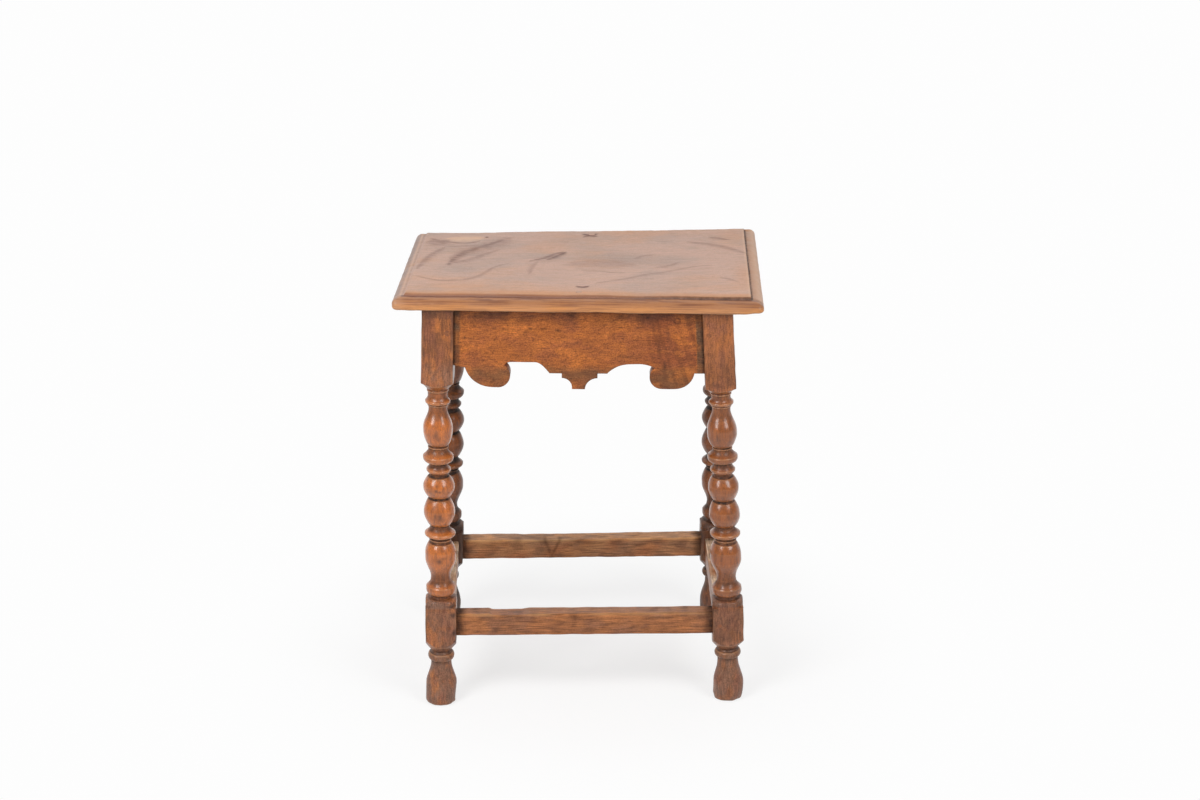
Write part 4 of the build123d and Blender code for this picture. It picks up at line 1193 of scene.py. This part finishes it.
def make_seat(material):
    """Rings of a rounded rectangle, each at its own distance inside the edge and its own height,
    from a line down the middle of the top to the same line below. Where hands and cloths have
    rubbed it, most at the left, the profile goes over to a worn one. Then the board is narrowed to
    the rear, lifted at its rear corners and its front right one, and moved on the frame."""
    cut, worn = seat_profile(CUT_STEP), seat_profile(WORN_STEP)
    rows = []
    for (d0, z0), (d1, z1) in zip(cut, worn):
        first, second = (seat_ring(d, max(SEAT_CORNER - d, 0.8)) for d in (d0, d1))
        x, y = first.T
        rubbed = fade(x, -190, -60) + 0.35 * fade(x, -60, 170) * (y < 0) + 0.2 * ripple(first, 60, 5)
        rubbed = unit(rubbed)[:, None]
        rows.append(np.column_stack([first + (second - first) * rubbed, z0 + (z1 - z0) * rubbed]))
    count = len(rows[0])
    points = np.concatenate(rows)
    distance = np.repeat(cut[:, 0], count)
    top = np.arange(len(points)) < count * (len(rows) - len(UNDERSIDE_RINGS))
    moulding = ease(FIELD_INSET + 3 - distance, 0, 4) * top
    points[:, 2] += top * (0.22 * ripple(points[:, :2], 90, 11) + 0.05 * ripple(points[:, :2], 12, 12))
    points[:, 2] += moulding * 0.12 * ripple(points, 15, 13)
    points[:, :2] *= 1 + (moulding * 0.0003 * ripple(points, 22, 14))[:, None]
    marks = seat_marks(points, distance, top)

    points[:, 0] *= 1 - SEAT_TAPER * (1 + points[:, 1] / (SEAT_DEPTH / 2))
    x, y, z = points.T
    share_up = (z - SEAT_UNDERSIDE) / SEAT_THICKNESS
    points[:, 2] += 0.9 * share_up * np.abs(x / (SEAT_LENGTH / 2)) ** 3 * ease(y, -40, 140)
    raised = 0.3 * fade(x, -226, -200) + 2.0 * ease(x, 200, 226)
    points[:, 2] += raised * fade(share_up, 0.1, 0.5) * (distance < 6) * fade(y, -120, -60)
    points, faces, marks = merged(points + SEAT_SHIFT, wrapped_quads(len(rows), count), marks)
    add_piece("seat_board", ["seat"], material, points, faces, marks, on_frame=False)


# ---------- pegs ----------
class PegRow(NamedTuple):
    """The pegs of one kind of joint: distance from the leg's centre towards the rail, heights up
    the leg, and radius."""
    reach: float
    heights: tuple
    radius: float


APRON_PEGS = PegRow(reach=12.0, heights=(LEG_LENGTH - 33.0, LEG_LENGTH - 57.0), radius=3.5)
STRETCHER_PEGS = PegRow(reach=11.0, heights=(111.5,), radius=3.0)
SEAT_PEGS = ((2.0, -1), (11.0, 1))         # place along the seat, and front or rear
SEAT_PEG_RADIUS = 4.0
PEG_COLUMNS = 24
PEG_RINGS = ((1.0, -1.5), (1.0, -0.1), (0.9, 0.08), (0.6, 0.13), (0.3, 0.15))


def peg_head(radius, seed):
    """The shown end of a shaved peg: a low dome on a rim that is more a polygon than a circle.
    Gives local points, with z along the peg, and faces."""
    angle = np.linspace(0, math.tau, PEG_COLUMNS, endpoint=False)
    shaved = radius * (1 - 0.05 * np.abs(np.sin(3.5 * angle + seed)))
    rows = [np.column_stack([shaved * share * np.cos(angle), shaved * share * np.sin(angle),
                             np.full(PEG_COLUMNS, height)]) for share, height in PEG_RINGS]
    points = np.concatenate(rows + [np.array([(0, 0, PEG_RINGS[-1][1]), (0, 0, PEG_RINGS[0][1])])])
    faces = [wrapped_quads(len(rows), PEG_COLUMNS),
             closing_fan((len(rows) - 1) * PEG_COLUMNS, PEG_COLUMNS, len(points) - 2),
             closing_fan(0, PEG_COLUMNS, len(points) - 1)[:, ::-1]]
    return points, faces


def join(parts):
    """One list of points and faces from several."""
    points, quads, triangles, first = [], [], [], 0
    for local, faces in parts:
        points.append(local)
        quads.append(faces[0] + first)
        triangles += [group + first for group in faces[1:]]
        first += len(local)
    return np.concatenate(points), [np.concatenate(quads), np.concatenate(triangles)]


def peg_marks(tones, rim_dirt, gloss):
    """Grime round the rim of each peg head and little on its dome, and a tone for each head."""
    rim = np.repeat([1.0, 0.85, 0.25, 0.1, 0.1], PEG_COLUMNS)
    rim = np.append(rim, [0.1, 1.0])
    grime_and_shade = np.tile(rim, len(tones))
    plain = np.zeros(len(grime_and_shade))
    return {"grime_and_shade": rim_dirt * grime_and_shade, "mark": plain + 0.2 * rim_dirt, "worn": plain,
            "tone": np.repeat(tones, len(rim)), "gloss": plain + gloss}


def make_pegs(kind, side, row, material):
    """Peg heads set square into the outer faces of a side's two legs, each as dark as its leg."""
    ox, oy = SIDES[side]
    parts, tones = [], []
    for leg, (sx, sy) in LEGS.items():
        if sx != ox and sy != oy:
            continue
        origin, axes = leg_axes(leg)
        for number, height in enumerate(row.heights):
            local, faces = peg_head(row.radius, number + sx + 3 * sy)
            face = np.interp(height, SQUARE_HEIGHTS, HANDS[leg].square) - 0.1
            if oy:
                turned = np.column_stack([local[:, 0], oy * local[:, 2], local[:, 1]])
                centre = (-sx * row.reach, oy * face, height)
            else:
                turned = np.column_stack([ox * local[:, 2], local[:, 0], local[:, 1]])
                centre = (ox * face, -sy * row.reach, height)
            parts.append((origin + (turned + centre) @ axes, faces))
            tones.append(min(HANDS[leg].square_shade, 1.0) - 1.0)
    points, faces = join(parts)
    add_piece(f"{kind}_peg_heads_{side}", [f"{kind}_pegs_{side}"], material, points, faces,
              peg_marks(tones, 0.35, 0.2))


def make_seat_pegs(material):
    """Peg heads flush with the seat's field, over the middle of the front and rear aprons."""
    parts = []
    for x, out in SEAT_PEGS:
        local, faces = peg_head(SEAT_PEG_RADIUS, out)
        y = out * (FOOT_Y - SLOPE_Y * SEAT_UNDERSIDE + (APRON_OUTER + APRON_INNER) / 2)
        parts.append((local + (x, y, SEAT_TOP), faces))
    points, faces = join(parts)
    add_piece("seat_peg_heads", ["seat_pegs"], material, points, faces,
              peg_marks([0.35, 0.1], 0.12, 0.2), on_frame=False)


# ---------- operators ----------
class STOOL_OT_seat(bpy.types.Operator):
    """Make the moulded seat board and the ends of its two pegs"""
    bl_idname = "stool.seat"
    bl_label = "Seat"

    def execute(self, context):
        colours = context.scene.stool_colours
        seat = tuple(colours.seat)
        # Its third colour greys clouds and the left edge, where a painted reflection lies; its pale and deep
        # colours also paint highlights and the quirk's shadow.
        board = Walnut("bleached_waxed_walnut", 0, seat, tuple(colours.nosing), linear("#9a8478"),
                       deep=linear("#603224"), warm=linear("#cb9a79"), cool=linear("#aa9489"),
                       pale=linear("#e0b797"), cloud=60.0, warmed=0.45, cooled=0.45, streaked=0.06,
                       figure=5.0, fibre=1.8, fibred=0.10, drawn=0.05, sway=0.03, calm=0.8,
                       speckled=0.08, flecked=0.12, rough=0.50, shine=0.34, polish=0.6, polish_rough=0.28)
        make_seat(walnut(board))
        make_seat_pegs(walnut(board._replace(name="seat_peg_end_grain", along=2, colour=shaded(seat, 0.95))))
        return {"FINISHED"}


class STOOL_OT_legs(bpy.types.Operator):
    """Turn the four legs"""
    bl_idname = "stool.legs"
    bl_label = "Legs"

    def execute(self, context):
        colours = context.scene.stool_colours
        for leg, hand in HANDS.items():
            square = shaded(colours.square, hand.square_shade)
            turning = shaded(colours.turning, hand.shade)
            # The leg's other colours follow its square's shade, which on the rear legs is partly painted
            # shade.
            worn = min(hand.square_shade / 0.8, 1.0)
            make_leg(leg, walnut(Walnut(
                f"turned_waxed_walnut_{leg}", 2, square, turning, shaded(colours.foot, worn),
                deep=shaded(linear("#4a2413"), worn), warm=shaded(linear("#cc7630"), hand.shade),
                cool=shaded(linear("#8a5038"), worn), pale=shaded(linear("#d8a070"), worn), cloud=16.0,
                warmed=0.45, cooled=0.5, streaked=0.34, figure=4.5, fibre=1.5, fibred=0.34, speckled=0.24,
                calm=0.5, flecked=0.45, rough=0.38, shine=0.4, polish=1.0, polish_rough=0.15,
                grain_depth=0.05)))
        return {"FINISHED"}


class STOOL_OT_aprons(bpy.types.Operator):
    """Saw the four shaped aprons"""
    bl_idname = "stool.aprons"
    bl_label = "Aprons"

    def execute(self, context):
        colours = context.scene.stool_colours
        arris = context.scene.stool_sizes.arris / MM
        apron = tuple(colours.apron)
        for side, (ox, _) in SIDES.items():
            # Its third colour goes on the painted shade and grime at the ends beside the legs, and on the
            # lower parts.
            finish = walnut(Walnut(
                f"planed_waxed_walnut_{side}", 1 if ox else 0, apron, linear("#8b4a26"),
                linear("#5f4733"), deep=linear("#5c2f14"), warm=linear("#c27030"), cool=linear("#8a4c2e"),
                pale=linear("#cf8d52"), cloud=20.0, warmed=0.6, cooled=0.55, streaked=0.18, figure=3.0,
                fibre=1.5, fibred=0.30, drawn=0.16, speckled=0.32, flecked=0.5, sway=0.02, rough=0.45,
                shine=0.25, polish=0.5, polish_rough=0.25, worms=0.10))
            make_board(f"shaped_apron_{side}", [f"apron_{side}"], finish, side,
                       apron_outline(side), APRON_INNER, APRON_OUTER, arris, apron_marks(side),
                       mesh=1.5 if side == "front" else 3.0)
        return {"FINISHED"}


class STOOL_OT_stretchers(bpy.types.Operator):
    """Plane the four stretchers, worn on top by feet"""
    bl_idname = "stool.stretchers"
    bl_label = "Stretchers"

    def execute(self, context):
        colours = context.scene.stool_colours
        arris = 1.8 * context.scene.stool_sizes.arris / MM
        for side, (ox, _) in SIDES.items():
            rear = side == "rear"
            # Colours of the tops, paler where feet have worn them; the side bars' very pale tops are also a
            # painted highlight.
            top = linear({"front": "#a0693e", "rear": "#c78b55",
                          "left": "#cdb295", "right": "#e6c6a6"}[side])
            finish = walnut(Walnut(
                f"foot_worn_walnut_{side}", 1 if ox else 0, tuple(colours.stretcher),
                linear("#a67a54" if rear else "#ae6d3f"), top, deep=linear("#4e2c1a"),
                warm=linear("#a87243" if rear else "#b4713d"), cool=linear("#76563f" if rear else "#7a5442"),
                pale=linear("#dba974"), cloud=24.0, warmed=0.5, cooled=0.5, streaked=0.34, figure=2.8,
                fibre=1.4, fibred=0.42, drawn=0.05, sway=0.005, speckled=0.16, flecked=0.5, rough=0.45,
                shine=0.3, polish=0.7, polish_rough=0.22, worms=0.10 if rear else 0.03))
            outer = STRETCHER_OUTER[side]
            make_board(f"stretcher_bar_{side}", [f"stretcher_{side}"], finish, side,
                       stretcher_outline(side), outer - STRETCHER_THICKNESS, outer, arris,
                       stretcher_marks(side), uneven=0.3, mesh=2.0)
        return {"FINISHED"}


class STOOL_OT_pegs(bpy.types.Operator):
    """Drive the pegs of every mortise and tenon"""
    bl_idname = "stool.pegs"
    bl_label = "Pegs"

    def execute(self, context):
        colours = context.scene.stool_colours
        square = tuple(colours.square)
        wood = walnut(Walnut(
            "shaved_peg_end_grain", 2, square, square, shaded(square, 0.05),
            deep=linear("#4a2413"), warm=linear("#a2602f"), cool=linear("#7a4a38"), pale=linear("#b9845a"),
            cloud=8.0, fibre=1.2, speckled=0.2, rough=0.45))
        for side in SIDES:
            make_pegs("apron", side, APRON_PEGS, wood)
            make_pegs("stretcher", side, STRETCHER_PEGS, wood)
        return {"FINISHED"}


# ---------- stage ----------
WHITE = 0.985                  # the backdrop as the camera sees it
FLOOR_SHADE = 0.37             # share of the floor's look that takes shadows, under the stool
FLOOR_LIGHT = 0.95             # how bright that share is where nothing shades it
WORLD_LEVEL = 0.23             # light from all round
FRONT_LEVEL = 0.30             # what polished wood reflects of the room before and beside the backdrop
FLOOR_HALF = 12.0              # metres, as are the next two
SHADE_MIDDLE = (0, -0.03, 0)   # where the floor takes most shadow
SHADE_REACH = 0.52             # and how far from there it takes any


def seen_rays(tree):
    """Whether a ray comes straight from the camera, and whether it shows something in the picture:
    straight, as a gloss, or through glass."""
    path = add_node(tree, "ShaderNodeLightPath")
    direct = seen = path.outputs["Is Camera Ray"]
    for ray in ("Is Glossy Ray", "Is Transmission Ray"):
        seen = add_node(tree, "ShaderNodeMath", {"operation": "MAXIMUM"}, {0: seen, 1: path.outputs[ray]})
    return direct, seen


def white_floor():
    """Seamless white paper, overexposed: to the camera and in reflections it glows white and takes
    only a faint shadow, and to everything else it is plain white paper."""
    material, tree = empty_material("seamless_white_paper")
    _, seen = seen_rays(tree)
    away = add_node(tree, "ShaderNodeVectorMath", {"operation": "DISTANCE"},
                    {0: add_node(tree, "ShaderNodeTexCoord").outputs["Object"], 1: SHADE_MIDDLE})
    taken = add_node(tree, "ShaderNodeMapRange", {"interpolation_type": "SMOOTHSTEP"},
                     {"Value": away.outputs["Value"], "From Min": 0.0, "From Max": SHADE_REACH,
                      "To Min": FLOOR_SHADE, "To Max": 0.0})
    left = add_node(tree, "ShaderNodeMath", {"operation": "MULTIPLY_ADD"},
                    {0: taken, 1: -FLOOR_LIGHT, 2: WHITE})
    glow = add_node(tree, "ShaderNodeEmission", None, {"Color": (1, 1, 1, 1), "Strength": left})
    shade = add_node(tree, "ShaderNodeBsdfDiffuse", None, {"Color": taken})
    shown = add_node(tree, "ShaderNodeAddShader", None, {0: glow, 1: shade})
    paper = add_node(tree, "ShaderNodeBsdfDiffuse", None, {"Color": (0.85, 0.85, 0.85, 1)})
    both = add_node(tree, "ShaderNodeMixShader", None, {"Fac": seen, 1: paper, 2: shown})
    add_node(tree, "ShaderNodeOutputMaterial", None, {"Surface": both})
    return material


def white_world():
    """A white backdrop to the camera. Polished wood reflects it from behind the stool and a dimmer
    room from before it, and everything else gets an even light from all round."""
    world = bpy.data.worlds.new("white_studio")
    world.use_nodes = True
    tree = world.node_tree
    tree.nodes.clear()
    direct, seen = seen_rays(tree)
    facing = add_node(tree, "ShaderNodeSeparateXYZ", None,
                      {"Vector": add_node(tree, "ShaderNodeTexCoord").outputs["Generated"]})
    behind = add_node(tree, "ShaderNodeMapRange", {"interpolation_type": "SMOOTHSTEP"},
                      {"Value": facing.outputs["Y"], "From Min": -0.1, "From Max": 0.7,
                       "To Min": FRONT_LEVEL, "To Max": WHITE})
    shown = add_node(tree, "ShaderNodeMath", {"operation": "MAXIMUM"}, {0: behind, 1: direct})
    shown = add_node(tree, "ShaderNodeMath", {"operation": "MINIMUM"}, {0: shown, 1: WHITE})
    level = add_node(tree, "ShaderNodeMapRange", None,
                     {"Value": seen, "To Min": WORLD_LEVEL, "To Max": shown})
    white = add_node(tree, "ShaderNodeBackground", None, {"Color": (1, 1, 1, 1), "Strength": level})
    add_node(tree, "ShaderNodeOutputWorld", None, {"Surface": white})
    return world


LAMP_DISTANCE = 2.1            # metres
LAMPS = {                      # azimuth, elevation, strength, width and height; see add_lamp
    "softbox_left": (-41, 38, 1.95, 20, 32),
    "softbox_right": (44, 36, 1.3, 20, 32),
    "softbox_rear": (180, 58, 0.42, 80, 50),
}
CAMERA_PLACE = (0.0030, -2.9771, 1.5741)
CAMERA_PITCH = 22.0            # degrees below the horizon
CAMERA_ROLL = -0.174
CAMERA_YAW = 0.409
CAMERA_SENSOR = 36.0           # millimetres, as is the lens
CAMERA_LENS = 74.21


def add_lamp(name, azimuth, elevation, strength, width, height):
    """A soft box that faces the stool from a direction in degrees. Its width and height are angles
    too, as seen from the stool. Its power is the light that reaches the stool, times pi, times its
    distance squared."""
    lamp = bpy.data.lights.new(name, "AREA")
    lamp.shape = "RECTANGLE"
    lamp.size, lamp.size_y = (2 * LAMP_DISTANCE * math.tan(math.radians(angle / 2))
                              for angle in (width, height))
    lamp.energy = strength * math.pi * LAMP_DISTANCE ** 2
    box = bpy.data.objects.new(name, lamp)
    middle = Matrix.Translation((0, 0, SEAT_TOP * MM / 2))
    turned = Matrix.Rotation(math.radians(azimuth), 4, "Z")
    tipped = Matrix.Rotation(math.radians(90 - elevation), 4, "X")
    box.matrix_world = middle @ turned @ tipped @ Matrix.Translation((0, 0, LAMP_DISTANCE))
    bpy.context.scene.collection.objects.link(box)


def add_camera():
    """The camera, where it sees the stool as a person standing before it does."""
    camera = bpy.data.cameras.new("camera")
    camera.lens = CAMERA_LENS
    camera.sensor_width = CAMERA_SENSOR
    stand = bpy.data.objects.new("camera", camera)
    stand.matrix_world = (Matrix.Translation(CAMERA_PLACE)
                          @ Matrix.Rotation(math.radians(-CAMERA_YAW), 4, "Z")
                          @ Matrix.Rotation(math.radians(90 - CAMERA_PITCH), 4, "X")
                          @ Matrix.Rotation(math.radians(CAMERA_ROLL), 4, "Z"))
    bpy.context.scene.collection.objects.link(stand)
    bpy.context.scene.camera = stand


class STOOL_OT_stage(bpy.types.Operator):
    """Lay the white floor, and set the lights and the camera"""
    bl_idname = "stool.stage"
    bl_label = "Stage"

    def execute(self, context):
        scene = context.scene
        scene.view_settings.view_transform = "Standard"
        mesh = bpy.data.meshes.new("floor")
        corners = [(x * FLOOR_HALF, y * FLOOR_HALF, 0) for x, y in ((-1, -1), (1, -1), (1, 1), (-1, 1))]
        mesh.from_pydata(corners, [], [(0, 1, 2, 3)])
        mesh.materials.append(white_floor())
        floor = bpy.data.objects.new("floor", mesh)
        scene.collection.objects.link(floor)

        scene.world = white_world()
        for name, lamp in LAMPS.items():
            add_lamp(name, *lamp)
        add_camera()
        return {"FINISHED"}


class STOOL_PT_panel(bpy.types.Panel):
    """Everything that makes the stool, in order"""
    bl_idname = "STOOL_PT_panel"
    bl_label = "Joint stool"
    bl_space_type = "VIEW_3D"
    bl_region_type = "UI"
    bl_category = "Stool"

    def draw(self, context):
        for group in (context.scene.stool_sizes, context.scene.stool_colours):
            for name in group.__annotations__:
                self.layout.prop(group, name)
        for operator in OPERATORS:
            self.layout.operator(operator.bl_idname)


OPERATORS = (STOOL_OT_seat, STOOL_OT_legs, STOOL_OT_aprons, STOOL_OT_stretchers, STOOL_OT_pegs,
             STOOL_OT_stage)
CLASSES = (StoolSizes, StoolColours, *OPERATORS, STOOL_PT_panel)


def register():
    """Make the tab's classes and settings known to Blender."""
    for cls in CLASSES:
        bpy.utils.register_class(cls)
    bpy.types.Scene.stool_sizes = PointerProperty(type=StoolSizes)
    bpy.types.Scene.stool_colours = PointerProperty(type=StoolColours)


def unregister():
    """Take them away again."""
    del bpy.types.Scene.stool_colours
    del bpy.types.Scene.stool_sizes
    for cls in reversed(CLASSES):
        bpy.utils.unregister_class(cls)


def main():
    """Make everything, in order."""
    register()
    for operator in OPERATORS:
        group, name = operator.bl_idname.split(".")
        getattr(getattr(bpy.ops, group), name)()


if __name__ == "__main__":
    main()
